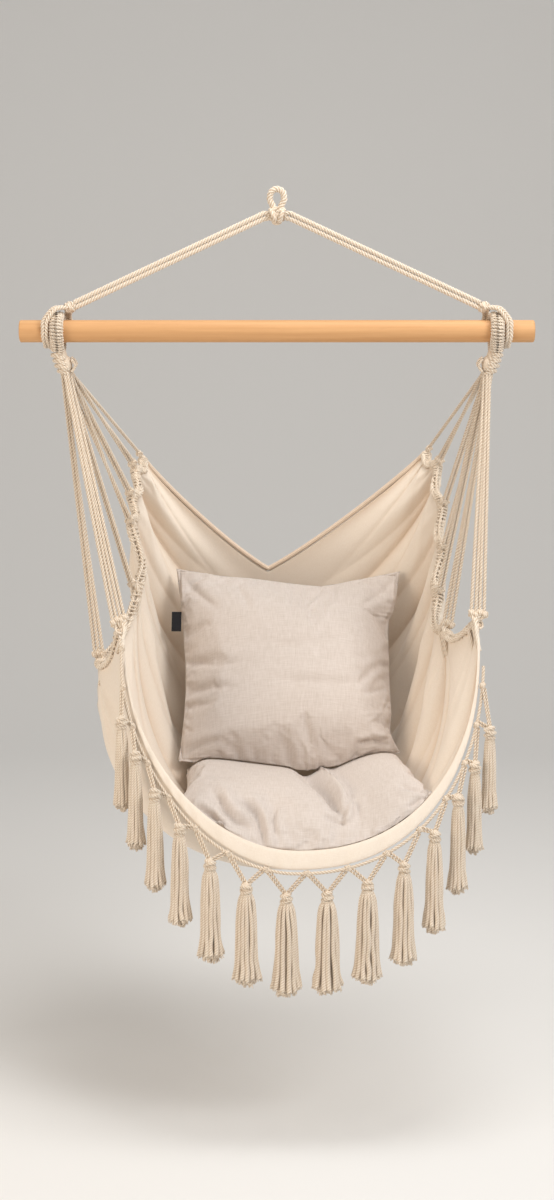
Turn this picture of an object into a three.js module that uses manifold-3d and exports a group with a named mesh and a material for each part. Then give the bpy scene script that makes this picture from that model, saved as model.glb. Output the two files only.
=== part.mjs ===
// A hammock chair that hangs from one rope eye: a wooden spreader bar in rope rings, and a canvas
// seat on two fans of cords, with a fringe of tassels along its front hem and two loose cushions.
// Millimetres. X is the viewer's right, Y points away from the viewer, Z is up. The origin is the
// inner top of the rope eye, where the chair hangs.
import * as THREE from 'three'
import { mergeVertices } from 'three/addons/utils/BufferGeometryUtils.js'
import Module from 'manifold-3d'

const wasm = await Module()
wasm.setup()

// Gaps between pieces that touch: hard or roped pieces, and soft pieces that lie on cloth.
const touchGap = 0.3
const softGap = 0.8

// The rope eye and the knot under it.
const eyeRope = 13
const eyeHoleWidth = 13.5
const eyeHoleHeight = 25
const apexKnotDiameter = 30
const apexKnotDepth = 36
const apexKnotWidth = 40
const apexDrop = 44

// The spreader bar.
const barLength = 1000
const barDiameter = 43
const barEndRound = 3
const barDrop = 264

// Suspension cords run from the knot to the rings that hold the bar.
const suspensionCord = 9.4
const ringWidth = 14.5
const ringCord = 7
const ringKnotWidth = 22.5
const ringKnotHeight = 28
const ringKnotInset = 98
const ringKnotRise = 46

// The wrapped eyes of the seat, over the bar.
const slingEyeInset = 74
const eyeWidth = 25.6
const eyeCoreThickness = 6
const whipCord = 5.2
const whipTurns = 20
const whipSteps = 7
const whipSides = 4
const whipLeastGap = 0.4
const eyeWrapDegrees = 120
const eyeLegLength = 28

// The knotted neck under each eye, and its short tail.
const neckHeight = 44
const neckWidth = 31
const neckDepth = 41
const neckLean = 13
const tailCord = 5.4
const tailReach = 9

// The harness cords.
const harnessCord = 6.2
const harnessKnot = 15
const fanRadius = 21.5
const fanStepDegrees = 20

// The canvas seat and its bound edges.
const seatHalfWidth = 350
const seatReach = 360
const seatDrop = 1050
const canvasThickness = 2.4
const foldDepth = 19
const edgeSag = 14
const sideRope = 7
const hemRoll = 11
const bandThickness = 4

// The fringe.
const hemCord = 7
const hitchLength = 20
const hitchDiameter = 13
const legCord = 4.8
const legDrop = 45
const tasselStandOff = 25
const tasselLength = 192
const tasselHeadDiameter = 23
const tasselSkirtDiameter = 56
const tasselCount = 14

// The two cushions.
const cushionSize = 460
const backCushionHeight = 432
const seatCushionWidth = 474
const backCushionThickness = 128
const seatCushionThickness = 186
const cornerDraw = 16
const tabLength = 43
const tabReach = 20
const tabThickness = 2

const barZ = -barDrop
const apexZ = -apexDrop
const sides = { left: -1, right: 1 }

// Colours and finishes.
function finish(color, roughness) {
  return new THREE.MeshStandardMaterial({ color, roughness, metalness: 0 })
}
const ropeFinish = finish(0xe6d3b6, 0.95)
const canvasFinish = finish(0xeaddc8, 0.9)
const cushionFinish = finish(0xdccdbd, 0.92)
const woodFinish = finish(0xe3b27a, 0.5)
const tabFinish = finish(0x17171a, 0.8)

const chair = new THREE.Group()
function piece(name, geometry, material) {
  const mesh = new THREE.Mesh(geometry, material)
  mesh.name = name
  chair.add(mesh)
  return mesh
}

function vec(x, y, z) {
  return new THREE.Vector3(x, y, z)
}

// Joins and cuts.
function solidOf(geometry) {
  const bare = geometry.clone()
  bare.deleteAttribute('normal')
  bare.deleteAttribute('uv')
  const merged = mergeVertices(bare)
  return new wasm.Manifold(new wasm.Mesh({
    numProp: 3,
    vertProperties: merged.attributes.position.array,
    triVerts: new Uint32Array(merged.index.array),
  }))
}
function geometryOf(solid) {
  const mesh = solid.getMesh()
  const geometry = new THREE.BufferGeometry()
  geometry.setAttribute('position', new THREE.BufferAttribute(mesh.vertProperties, mesh.numProp))
  geometry.setIndex(new THREE.BufferAttribute(mesh.triVerts, 1))
  return geometry
}
function join(geometries) {
  return geometries.map(solidOf).reduce((whole, part) => whole.add(part))
}
function joined(geometries) {
  return geometryOf(join(geometries))
}

// A closed solid through rings of points that go round the direction of travel, with flat ends.
function loft(rings) {
  const count = rings[0].length
  const positions = rings.flat().flatMap((p) => [p.x, p.y, p.z])
  const index = []
  const last = (rings.length - 1) * count
  for (let i = 0; i < rings.length - 1; i++) {
    for (let j = 0; j < count; j++) {
      const a = i * count + j
      const b = i * count + (j + 1) % count
      index.push(a, b, b + count, a, b + count, a + count)
    }
  }
  for (let j = 1; j < count - 1; j++) {
    index.push(0, j + 1, j)
    index.push(last, last + j, last + j + 1)
  }
  const geometry = new THREE.BufferGeometry()
  geometry.setAttribute('position', new THREE.Float32BufferAttribute(positions, 3))
  geometry.setIndex(index)
  return geometry
}

// Directions of travel at each point of a path, and the side vectors carried along it.
function tangentsOf(points) {
  return points.map((p, i) => {
    const before = points[Math.max(i - 1, 0)]
    const after = points[Math.min(i + 1, points.length - 1)]
    return after.clone().sub(before).normalize()
  })
}
function carriedSides(tangents, start) {
  const side = start.clone()
  return tangents.map((t) => {
    side.addScaledVector(t, -side.dot(t)).normalize()
    return side.clone()
  })
}

// A cord or flat cord through every point of a path: wide along its side vector, thick across it.
// The side vector is carried along from a start, or chosen at each point.
function cord(points, wide, thick = wide, count = 8, start = vec(0.31, 0.93, 0.2)) {
  const tangents = tangentsOf(points)
  const chosen = typeof start === 'function'
  const along = chosen ? points.map((p, i) => start(p, tangents[i])) : carriedSides(tangents, start)
  return loft(points.map((p, i) => {
    const across = tangents[i].clone().cross(along[i])
    return Array.from({ length: count }, (unused, j) => {
      const turn = (j + 0.5) / count * 2 * Math.PI
      return p.clone()
        .addScaledVector(along[i], Math.cos(turn) * wide / 2)
        .addScaledVector(across, Math.sin(turn) * thick / 2)
    })
  }))
}
function smooth(points, steps) {
  return new THREE.CatmullRomCurve3(points, false, 'centripetal').getSpacedPoints(steps)
}
function ball(centre, width, depth, height, around = 10, rows = 6) {
  return new THREE.SphereGeometry(1, around, rows)
    .rotateX(Math.PI / 2)
    .scale(width / 2, depth / 2, height / 2)
    .translate(centre.x, centre.y, centre.z)
}

// Spreader bar: a turned rod with lightly rounded ends.
function spreaderBar() {
  const radius = barDiameter / 2
  const flat = radius - barEndRound
  const half = barLength / 2
  const end = half - barEndRound
  const mid = barEndRound * (1 - Math.SQRT1_2)
  const profile = [
    [0, -half], [flat, -half], [radius - mid, mid - half], [radius, -end],
    [radius, end], [radius - mid, half - mid], [flat, half], [0, half],
  ].map(([r, x]) => new THREE.Vector2(r, x))
  return new THREE.LatheGeometry(profile, 32).rotateZ(-Math.PI / 2).translate(0, 0, barZ)
}

// Apex knot: a barrel across the chair that the eye seats on, with a lobe at each side where the
// suspension cords come out.
function apexKnot() {
  const radius = apexKnotDiameter / 2
  const half = apexKnotDepth / 2
  const bevel = radius / 4
  const profile = [
    [0, -half], [radius - bevel, -half], [radius, bevel - half],
    [radius, half - bevel], [radius - bevel, half], [0, half],
  ].map(([r, y]) => new THREE.Vector2(r, y))
  const barrel = new THREE.LatheGeometry(profile, 20).translate(0, 0, apexZ)
  const lobeRadius = radius * 0.72
  const lobeShare = 0.3
  const lobes = Object.values(sides).map((side) => {
    const lobe = new THREE.CylinderGeometry(lobeRadius, lobeRadius, apexKnotWidth / 2, 12)
    return lobe.rotateZ(Math.PI / 2)
      .translate(side * apexKnotWidth / 4, 0, apexZ - radius * lobeShare)
  })
  return join([barrel, ...lobes])
}

// Hanging eye: a bend of thick rope whose two ends sit on the knot. The knot may rock under it, so
// its seat is cut by the knot turned each way.
const eyeSwayDegrees = 12
function hangingEye(knot) {
  const arc = (eyeHoleWidth + eyeRope) / 2
  const top = -eyeHoleWidth / 2
  const foot = apexZ + eyeRope / 3
  const waist = (eyeRope + touchGap) / 2
  const shoulder = (eyeHoleWidth - eyeHoleHeight) / 2 - eyeRope / 2
  const right = [vec(waist, 0, foot), vec(waist + eyeRope / 12, 0, -eyeHoleHeight - eyeRope / 6)]
  right.push(vec(arc, 0, shoulder - eyeRope / 6))
  for (let i = 0; i <= 8; i++) {
    const turn = i / 8 * Math.PI
    right.push(vec(arc * Math.cos(turn), 0, top + arc * Math.sin(turn)))
  }
  right.push(vec(-arc, 0, shoulder - eyeRope / 6))
  right.push(vec(-waist - eyeRope / 12, 0, -eyeHoleHeight - eyeRope / 6), vec(-waist, 0, foot))
  let eye = solidOf(cord(smooth(right, 18), eyeRope, eyeRope, 8))
  const grown = geometryOf(knot)
  const share = 1 + 2 * touchGap / apexKnotDiameter
  for (const degrees of [-eyeSwayDegrees, 0, eyeSwayDegrees]) {
    const turned = grown.clone().translate(0, 0, -apexZ).scale(share, share, share)
      .rotateY(THREE.MathUtils.degToRad(degrees)).translate(0, 0, apexZ)
    eye = eye.subtract(solidOf(turned))
  }
  return geometryOf(eye)
}

// Suspension cords: two to a side, one above the other, straight out of the knot and then down to
// the ring's knot.
const ringKnotX = barLength / 2 - ringKnotInset
const ringKnotZ = barZ + ringKnotRise
function suspensionPath(side, level) {
  const start = apexKnotWidth / 2 + touchGap
  const lead = start + suspensionCord / 2
  const end = ringKnotX - ringKnotWidth / 2 - touchGap - suspensionCord / 6
  const slope = (ringKnotZ - apexZ) / (ringKnotX - lead)
  const rise = level * (suspensionCord + touchGap) / 2 * Math.hypot(1, slope)
  return [
    vec(side * start, 0, apexZ + rise),
    vec(side * lead, 0, apexZ + rise),
    vec(side * end, 0, apexZ + slope * (end - lead) + rise),
  ]
}

// Bar ring: a flat pair of cords from the end knot, over the seat's eye, down the front of the bar,
// under it, and up behind the eye to the knot again.
const slingEyeX = barLength / 2 - slingEyeInset
const whipRadius = whipCord / 2
const eyeBend = barDiameter / 2 + 2 * touchGap + whipCord + eyeCoreThickness / 2
const eyeOuter = eyeBend + eyeCoreThickness / 2 + touchGap + whipCord
function barRing(side) {
  const hug = (barDiameter + ringCord) / 2 + touchGap
  const clearOfEye = eyeOuter + ringCord / 2 + touchGap * 5
  const out = slingEyeX + eyeWidth / 2 + ringWidth / 2 + touchGap
  const inner = slingEyeX - eyeWidth / 2 - ringCord / 2
  const place = (x, radius, degrees) => {
    const turn = THREE.MathUtils.degToRad(degrees)
    return vec(side * x, -radius * Math.sin(turn), barZ + radius * Math.cos(turn))
  }
  const knot = vec(side * ringKnotX, 0, ringKnotZ)
  const path = smooth([
    knot,
    place(slingEyeX - eyeWidth / 4, clearOfEye * 1.06, 14),
    place(slingEyeX + eyeWidth / 4, clearOfEye * 1.03, 26),
    place(out + ringCord / 6, hug * 1.26, 52),
    place(out + ringCord / 3, hug * 1.04, 80),
    place(out + ringCord / 3, hug * 1.04, 120),
    place(out, hug * 1.04, 165),
    place(out + ringCord / 6, hug * 1.3, 205),
    place(slingEyeX + eyeWidth / 3, clearOfEye * 1.14, 236),
    place(slingEyeX - eyeWidth / 5, clearOfEye * 1.1, 258),
    place(inner - ringCord / 6, clearOfEye, 285),
    place(inner, clearOfEye * 1.02, 315),
    knot,
  ], 26)
  const aroundBar = (p, along) => along.clone().cross(vec(0, p.y, p.z - barZ)).normalize()
  const ring = cord(path, ringWidth, ringCord, 8, aroundBar)
  return joined([ring, ball(knot, ringKnotWidth, ringKnotWidth, ringKnotHeight, 8, 6)])
}

// The seat's eye: a flat core round the bar, whose two legs come down to the neck, and a whipping
// cord wound round the core as one unbroken helix.
function eyeFrame(share) {
  const wrap = THREE.MathUtils.degToRad(eyeWrapDegrees)
  const half = eyeBend * wrap + eyeLegLength
  const run = (share - 0.5) * 2 * half
  const onArc = Math.min(Math.abs(run), half - eyeLegLength)
  const turn = Math.sign(run) * onArc / eyeBend
  const past = Math.abs(run) - onArc
  const out = vec(0, Math.sin(turn), Math.cos(turn))
  const ahead = vec(0, Math.cos(turn), -Math.sin(turn))
  const at = out.clone().multiplyScalar(eyeBend).addScaledVector(ahead, Math.sign(run) * past)
  return { at: at.add(vec(0, 0, barZ)), out, ahead, length: 2 * half }
}
const eyeMargin = (whipRadius + touchGap) / eyeFrame(0).length
const coreSteps = 18
function slingEyeCore(side) {
  const path = Array.from({ length: coreSteps + 1 }, (unused, i) => eyeFrame(i / coreSteps).at)
    .map((p) => p.add(vec(side * slingEyeX, 0, 0)))
  const inWhip = touchGap * 6
  return cord(path, eyeWidth - 2 * whipCord - inWhip, eyeCoreThickness - inWhip / 2, 6, vec(1, 0, 0))
}
function eyeWhipping(side) {
  const steps = whipTurns * whipSteps
  const wide = eyeWidth / 2 - whipRadius
  const thick = (eyeCoreThickness + whipCord) / 2 + touchGap
  const path = Array.from({ length: steps + 1 }, (unused, i) => {
    const share = eyeMargin + (1 - 2 * eyeMargin) * i / steps
    const frame = eyeFrame(share)
    const turn = i / whipSteps * 2 * Math.PI
    return frame.at.clone()
      .addScaledVector(vec(1, 0, 0), wide * Math.cos(turn) + side * slingEyeX)
      .addScaledVector(frame.out, thick * Math.sin(turn))
  })
  let least = Infinity
  for (let i = 0; i < path.length; i++) {
    for (let j = i + whipSteps - 2; j < path.length; j++) {
      least = Math.min(least, path[i].distanceTo(path[j]) - whipCord)
    }
  }
  console.log(`eye whipping: least gap to itself ${least.toFixed(2)}`)
  if (least < whipLeastGap) console.log('eye whipping: the turns are too close')
  return cord(path, whipCord, whipCord, whipSides, vec(0, 0.2, 1))
}

// The neck: a ribbed wrap under the eye, round at its foot where the cords fan out, and a tail loop.
const neckTopZ = eyeFrame(0).at.z - eyeCoreThickness / 4 - touchGap / 2
const fanDrop = neckHeight - fanRadius + touchGap
function fanCentre(side) {
  return vec(side * (slingEyeX - neckLean), 0, neckTopZ - fanDrop)
}
function neck(side) {
  const ribs = 4
  const profile = [new THREE.Vector2(0, 0), new THREE.Vector2(neckWidth / 2 * 0.86, 0)]
  const swellShare = 0.08
  for (let i = 0; i < ribs; i++) {
    const base = -fanDrop * i / ribs
    const rib = fanDrop / ribs
    profile.push(new THREE.Vector2(neckWidth / 2, base - rib * 0.3))
    profile.push(new THREE.Vector2(neckWidth / 2, base - rib * 0.7))
    profile.push(new THREE.Vector2(neckWidth / 2 * (1 - swellShare), base - rib))
  }
  profile.push(new THREE.Vector2(0, -fanDrop))
  const barrel = new THREE.LatheGeometry(profile.reverse(), 10).rotateX(Math.PI / 2)
    .scale(1, neckDepth / neckWidth, 1)
  const lean = barrel.attributes.position
  for (let i = 0; i < lean.count; i++) {
    lean.setX(i, lean.getX(i) + side * neckLean * lean.getZ(i) / fanDrop)
  }
  barrel.translate(side * slingEyeX, 0, neckTopZ)
  const centre = fanCentre(side)
  const foot = fanRadius - harnessCord / 3
  const loop = new THREE.TorusGeometry(tailReach, tailCord / 2, 5, 8).rotateX(Math.PI / 2)
    .translate(centre.x - side * (neckWidth / 2 + tailReach / 3), 0, centre.z + tailReach / 2)
  return joined([barrel, ball(centre, 2 * foot, 2 * foot, 2 * foot, 10, 6), loop])
}

// The seat's surface. Seven ribs cross the cloth, one at each pair of harness knots, from the back
// hem to the front band. Each rib drops from its left edge to its lowest point and climbs to its
// right edge; a fullness of 1 is a straight V, 2 is round, more is boxy. Shares of the seat's half
// width, reach and drop.
const ribShares = [
  { left: [-0.814, 0.767, 0.252], low: [-0.054, 0.85, 0.485], right: [0.903, 0.767, 0.242], full: [1.13, 1.1] },
  { left: [-0.849, 0.664, 0.271], low: [-0.04, 0.878, 0.643], right: [0.96, 0.664, 0.263], full: [1.4, 1.36] },
  { left: [-0.857, 0.522, 0.323], low: [-0.023, 0.733, 0.792], right: [0.98, 0.497, 0.338], full: [1.75, 1.7] },
  { left: [-0.849, 0.372, 0.371], low: [0, 0.428, 0.911], right: [0.969, 0.328, 0.42], full: [2, 1.95] },
  { left: [-0.806, 0.156, 0.485], low: [0.043, 0.011, 0.978], right: [0.926, 0.142, 0.499], full: [2.15, 2.1] },
  { left: [-0.997, -0.094, 0.613], low: [0.075, -0.444, 0.98], right: [0.951, -0.094, 0.558], full: [2.2, 2.2] },
  { left: [-0.849, -0.394, 0.535], low: [0.1, -0.872, 0.908], right: [1.1, -0.394, 0.525], full: [1.9, 2.3] },
]
const hemShares = { left: [-0.847, -0.417, 0.547], low: [0.095, -0.903, 0.937],
  right: [1.106, -0.417, 0.538], full: [1.88, 2.3] }
const gapFoldShares = [0.8, 1, 1, 1.1, 0.9, 0.7]

function seatPoint([x, y, z]) {
  return vec(x * seatHalfWidth, y * seatReach, barZ - z * seatDrop)
}
function alongRibs(pick) {
  return new THREE.CatmullRomCurve3(ribShares.map(pick), false, 'catmullrom')
}
const leftEdge = alongRibs((rib) => seatPoint(rib.left))
const rightEdge = alongRibs((rib) => seatPoint(rib.right))
const lowLine = alongRibs((rib) => seatPoint(rib.low))
const fullLine = alongRibs((rib) => vec(rib.full[0], rib.full[1], 0))

// A point on a rib: across runs from -1 at the left edge to 1 at the right edge.
function onRib(left, low, right, full, across) {
  const edge = across < 0 ? left : right
  const power = 2 / (across < 0 ? full.x : full.y)
  const turn = Math.abs(across) * Math.PI / 2
  const out = Math.sin(turn) ** power
  const up = 1 - Math.cos(turn) ** power
  return vec(
    low.x + (edge.x - low.x) * out,
    low.y + (edge.y - low.y) * up,
    low.z + (edge.z - low.z) * up,
  )
}
const ribGaps = ribShares.length - 1
const slopeStep = 0.01
function plainSeat(across, along) {
  const at = THREE.MathUtils.clamp(along, 0, 1)
  return onRib(leftEdge.getPoint(at), lowLine.getPoint(at), rightEdge.getPoint(at), fullLine.getPoint(at),
    THREE.MathUtils.clamp(across, -1, 1))
}
function seatNormal(across, along) {
  const u = plainSeat(across + slopeStep, along).sub(plainSeat(across - slopeStep, along))
  const v = plainSeat(across, along + slopeStep).sub(plainSeat(across, along - slopeStep))
  return v.cross(u).normalize()
}
// Folds hang from the knots: the cloth bellies inwards between two knots, most near the side edges,
// and the edge itself sags a little there.
function seat(across, along) {
  const at = THREE.MathUtils.clamp(along, 0, 1)
  const gap = Math.min(Math.floor(at * ribGaps), ribGaps - 1)
  const wave = (1 - Math.cos((at * ribGaps - gap) * 2 * Math.PI)) / 2
  const reach = THREE.MathUtils.smoothstep(Math.abs(across), 0.34, 0.74)
  const sag = THREE.MathUtils.smoothstep(Math.abs(across), 0.8, 1)
  const depth = gapFoldShares[gap] * foldDepth * wave * reach * (1 - sag / 2)
  return plainSeat(across, at)
    .addScaledVector(seatNormal(across, at), depth)
    .add(vec(0, 0, -edgeSag * wave * sag))
}

const acrossSteps = 24
const alongSteps = 24
function canvas() {
  const positions = []
  const index = []
  const row = acrossSteps + 1
  const layer = row * (alongSteps + 1)
  for (const face of [1, -1]) {
    for (let j = 0; j <= alongSteps; j++) {
      for (let i = 0; i <= acrossSteps; i++) {
        const across = -1 + 2 * i / acrossSteps
        const along = j / alongSteps
        const p = seat(across, along)
          .addScaledVector(seatNormal(across, along), face * canvasThickness / 2)
        positions.push(p.x, p.y, p.z)
      }
    }
  }
  const quad = (a, b, c, d) => index.push(a, b, c, a, c, d)
  for (let j = 0; j < alongSteps; j++) {
    for (let i = 0; i < acrossSteps; i++) {
      const a = j * row + i
      quad(a, a + row, a + row + 1, a + 1)
      quad(layer + a, layer + a + 1, layer + a + row + 1, layer + a + row)
    }
    const left = j * row
    const right = left + acrossSteps
    quad(left, layer + left, layer + left + row, left + row)
    quad(right, right + row, layer + right + row, layer + right)
  }
  for (let i = 0; i < acrossSteps; i++) {
    const front = alongSteps * row + i
    quad(i, i + 1, layer + i + 1, layer + i)
    quad(front, layer + front, layer + front + 1, front + 1)
  }
  const geometry = new THREE.BufferGeometry()
  geometry.setAttribute('position', new THREE.Float32BufferAttribute(positions, 3))
  geometry.setIndex(index)
  return geometry
}

// Side ropes run in the cloth's side edges, through all seven harness knots.
function squareTo(direction, line) {
  const unit = line.clone().normalize()
  return direction.clone().addScaledVector(unit, -direction.dot(unit)).normalize()
}
function edgeLine(across, along) {
  const step = 0.5 / alongSteps
  return seat(across, along + step).sub(seat(across, along - step))
}
function outward(across, along) {
  const inner = seat(across * 0.97, along)
  return squareTo(seat(across, along).sub(inner), edgeLine(across, along))
}
function sideRopePath(side) {
  const away = sideRope / 2 + touchGap * 2
  return Array.from({ length: alongSteps + 1 }, (unused, j) => {
    const along = j / alongSteps
    return seat(side, along).addScaledVector(outward(side, along), away)
  })
}

// Back hem: the cloth rolled round a cord along the V of the back edge.
function backHem() {
  const away = hemRoll / 2 + touchGap
  const points = []
  for (let i = 1; i < acrossSteps; i++) {
    const across = -1 + 2 * i / acrossSteps
    const line = seat(across + slopeStep, 0).sub(seat(across - slopeStep, 0))
    const out = squareTo(seat(across, 0).sub(seat(across, slopeStep)), line)
    points.push(seat(across, 0).addScaledVector(out, away))
  }
  return cord(points, hemRoll, hemRoll, 6)
}

// Front band: the folded front edge of the cloth, turned down in front of the seat.
function hemPoint(across) {
  return onRib(seatPoint(hemShares.left), seatPoint(hemShares.low), seatPoint(hemShares.right),
    vec(hemShares.full[0], hemShares.full[1], 0), across)
}
function bandFrame(across) {
  const top = seat(across, 1)
  const foot = hemPoint(across)
  const line = hemPoint(across + slopeStep).sub(hemPoint(across - slopeStep)).normalize()
  const down = squareTo(foot.clone().sub(top), line)
  const face = down.clone().cross(line).normalize()
  return { top, foot, down, front: face.y < 0 ? face : face.negate() }
}
const bandSteps = 36
function frontBand() {
  const rings = []
  for (let i = 1; i < bandSteps; i++) {
    const { top, foot, down, front } = bandFrame(-1 + 2 * i / bandSteps)
    top.addScaledVector(front, bandThickness / 2 + canvasThickness / 2 + touchGap * 2)
    foot.addScaledVector(front, bandThickness / 2)
    const corners = [[top, -1, -1], [top, 1, -1], [foot, 1, 1], [foot, -1, 1]]
    rings.push(corners.map(([p, out, low]) => p.clone()
      .addScaledVector(front, out * bandThickness / 2)
      .addScaledVector(down, low * bandThickness / 4)))
  }
  return loft(rings)
}

// Harness cords fan out from the foot of the neck. Each row is a harness knot, from the back corner
// to the front corner: the places its cords start from, in fan steps inwards and backwards.
const harnessStarts = [
  [[0.75, 2.5]],
  [[1.75, 1.5], [-0.25, 2.5]],
  [[-0.25, 1.5], [0.75, 1.5]],
  [[1.75, 0.5], [-1.2, 1.42]],
  [[-0.25, 0.5], [0.75, 0.5]],
  [[-1.25, -0.5], [-0.25, -0.5], [-1.25, 0.42]],
  [[-0.25, -1.5], [0.75, -1.5], [0.75, -0.5], [1.75, -0.5]],
]
function harnessKnotPlace(side, k) {
  const along = k / ribGaps
  const edge = seat(side, along)
  const rope = edge.clone().addScaledVector(outward(side, along), sideRope / 2 + touchGap * 2)
  const pull = squareTo(fanCentre(side).sub(edge), edgeLine(side, along))
  return rope.addScaledVector(pull, (sideRope + harnessKnot) / 2)
}
function harness(side, k) {
  const centre = fanCentre(side)
  const place = harnessKnotPlace(side, k)
  const step = THREE.MathUtils.degToRad(fanStepDegrees)
  const cords = harnessStarts[k].map(([inwards, back]) => {
    const level = Math.cos(inwards * step)
    const direction = vec(-side * Math.sin(inwards * step), Math.sin(back * step) * level,
      -Math.cos(back * step) * level)
    const start = centre.clone().addScaledVector(direction, fanRadius)
    const end = place.clone().addScaledVector(direction, harnessCord / 4)
    return cord([start, end], harnessCord, harnessCord, 6)
  })
  return joined([...cords, ball(place, harnessKnot, harnessKnot, harnessKnot, 7, 5)])
}

// Fringe cord: laced along the lower edge of the band, with a hitch for each pair of tassel legs.
const knotCount = tasselCount + 2
const hemSamples = 120
const hemEndShare = 0.985
function hemCurve() {
  const points = []
  for (let i = 0; i <= hemSamples; i++) {
    const { foot, down, front } = bandFrame((-1 + 2 * i / hemSamples) * hemEndShare)
    points.push(foot.addScaledVector(down, (bandThickness / 2 + hitchDiameter) / 2 + touchGap * 2)
      .addScaledVector(front, bandThickness / 2))
  }
  return new THREE.CatmullRomCurve3(points)
}
const hem = hemCurve()
const firstKnotShare = 0.016
const lastKnotShare = 0.927
const knotPitch = (lastKnotShare - firstKnotShare) / (knotCount - 1)
const hemKnots = Array.from({ length: knotCount }, (unused, i) => hem.getPointAt(firstKnotShare + knotPitch * i))
const hitchShares = [[-0.5, 0], [-0.35, 0.75], [0, 1], [0.35, 0.75], [0.5, 0]]
function fringeCord() {
  const length = hem.getLength()
  const stations = [[0, 0], ...hemKnots.flatMap((p, i) => {
    const share = firstKnotShare + knotPitch * i
    const hitch = hitchShares.map(([at, swell]) => [share + at * hitchLength / length, swell])
    return [...hitch, [share + knotPitch / 2, 0]]
  })]
  const points = stations.map(([share]) => hem.getPointAt(Math.min(share, 1)))
  const tangents = tangentsOf(points)
  const along = carriedSides(tangents, vec(0, 0.2, 1))
  const count = 9
  return loft(points.map((p, i) => {
    const across = tangents[i].clone().cross(along[i])
    const radius = (hemCord + (hitchDiameter - hemCord) * stations[i][1]) / 2
    return Array.from({ length: count }, (unused, j) => {
      const turn = j / count * 2 * Math.PI
      return p.clone().addScaledVector(along[i], radius * Math.cos(turn))
        .addScaledVector(across, radius * Math.sin(turn))
    })
  }))
}

// Tassel: doubled legs from two hitches meet above a wrapped head, and a skirt of bundled strands
// flares to an uneven foot. The steeper the hem, the further the tassel stands off in front of it,
// and the slimmer it hangs. Drops of the heads below their hitches as shares of the leg drop, and how
// far they stand off as shares of the tassels' stand-off.
const dropShares = [0.34, 0.2, 0.26, 0.36, 0.68, 0.84, 0.9, 0.86, 0.8, 0.82, 0.62, 0.5, 0.68, 0.8]
const standShares = [0.9, 0.88, 0.84, 0.78, 0.76, 0.5, 0.12, 0.15, 0.36, 0.5, 0.6, 0.66, 0.7, 1.3]
// Radius and depth down a tassel, as shares of its widest radius and its length.
const tasselShares = [
  [0.14, 0], [0.42, 0.05], [0.3, 0.125], [0.5, 0.2], [0.74, 0.6], [1, 0.95], [0.72, 1],
]
// The outer tassels are cut shorter.
const lengthShares = [0.92, 0.96, 1, 1, 1, 1, 1, 1, 1, 1, 1, 0.97, 0.9, 0.85]
const strandLobes = 6
function tasselFrame(i) {
  const from = hemKnots[i + 1]
  const to = hemKnots[i + 2]
  const unit = to.clone().sub(from).normalize()
  const level = vec(unit.x, unit.y, 0).normalize()
  const out = level.clone().cross(vec(0, 0, 1)).add(vec(0, -1, 0)).normalize()
  const steepness = Math.abs(unit.z)
  const middle = from.clone().add(to).divideScalar(2)
  const place = middle.clone().addScaledVector(out, tasselStandOff * standShares[i])
    .add(vec(0, 0, -legDrop * dropShares[i]))
  return { from, to, place, unit, hang: squareTo(place.clone().sub(middle), unit), steepness }
}
function tassel(i) {
  const { from, to, place, unit, hang, steepness } = tasselFrame(i)
  const widest = tasselSkirtDiameter / 2 * (1 - 0.5 * steepness ** 2)
  const length = tasselLength * lengthShares[i]
  const rings = tasselShares.map(([radius, depth], k) => {
    const fluted = k > 2 ? 0.1 : 0
    return Array.from({ length: strandLobes * 2 }, (unused, j) => {
      const turn = j / (strandLobes * 2) * 2 * Math.PI
      const lobe = 1 + (j % 2 ? -fluted : fluted / 2)
      const r = lobe * Math.max(radius * widest, k === 1 ? tasselHeadDiameter / 2 : 0)
      const uneven = k === 5 ? (j % 2) * tasselHeadDiameter / 8 : 0
      return vec(r * Math.cos(turn), -r * Math.sin(turn), uneven - depth * length).add(place)
    })
  })
  const parts = [loft(rings)]
  for (const [hitch, way] of [[from, 1], [to, -1]]) {
    const foot = place.clone().add(vec(0, 0, -tasselHeadDiameter / 8))
    const start = hitch.clone().addScaledVector(hang, hitchDiameter / 2 + touchGap / 2)
      .addScaledVector(unit, way * (legCord + 4 * touchGap))
    const turn = start.clone().addScaledVector(hang, legCord * 0.8).addScaledVector(unit, way * touchGap)
    parts.push(cord([start, turn, foot], 2 * legCord, legCord, 5, unit))
  }
  return joined(parts)
}

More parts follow.
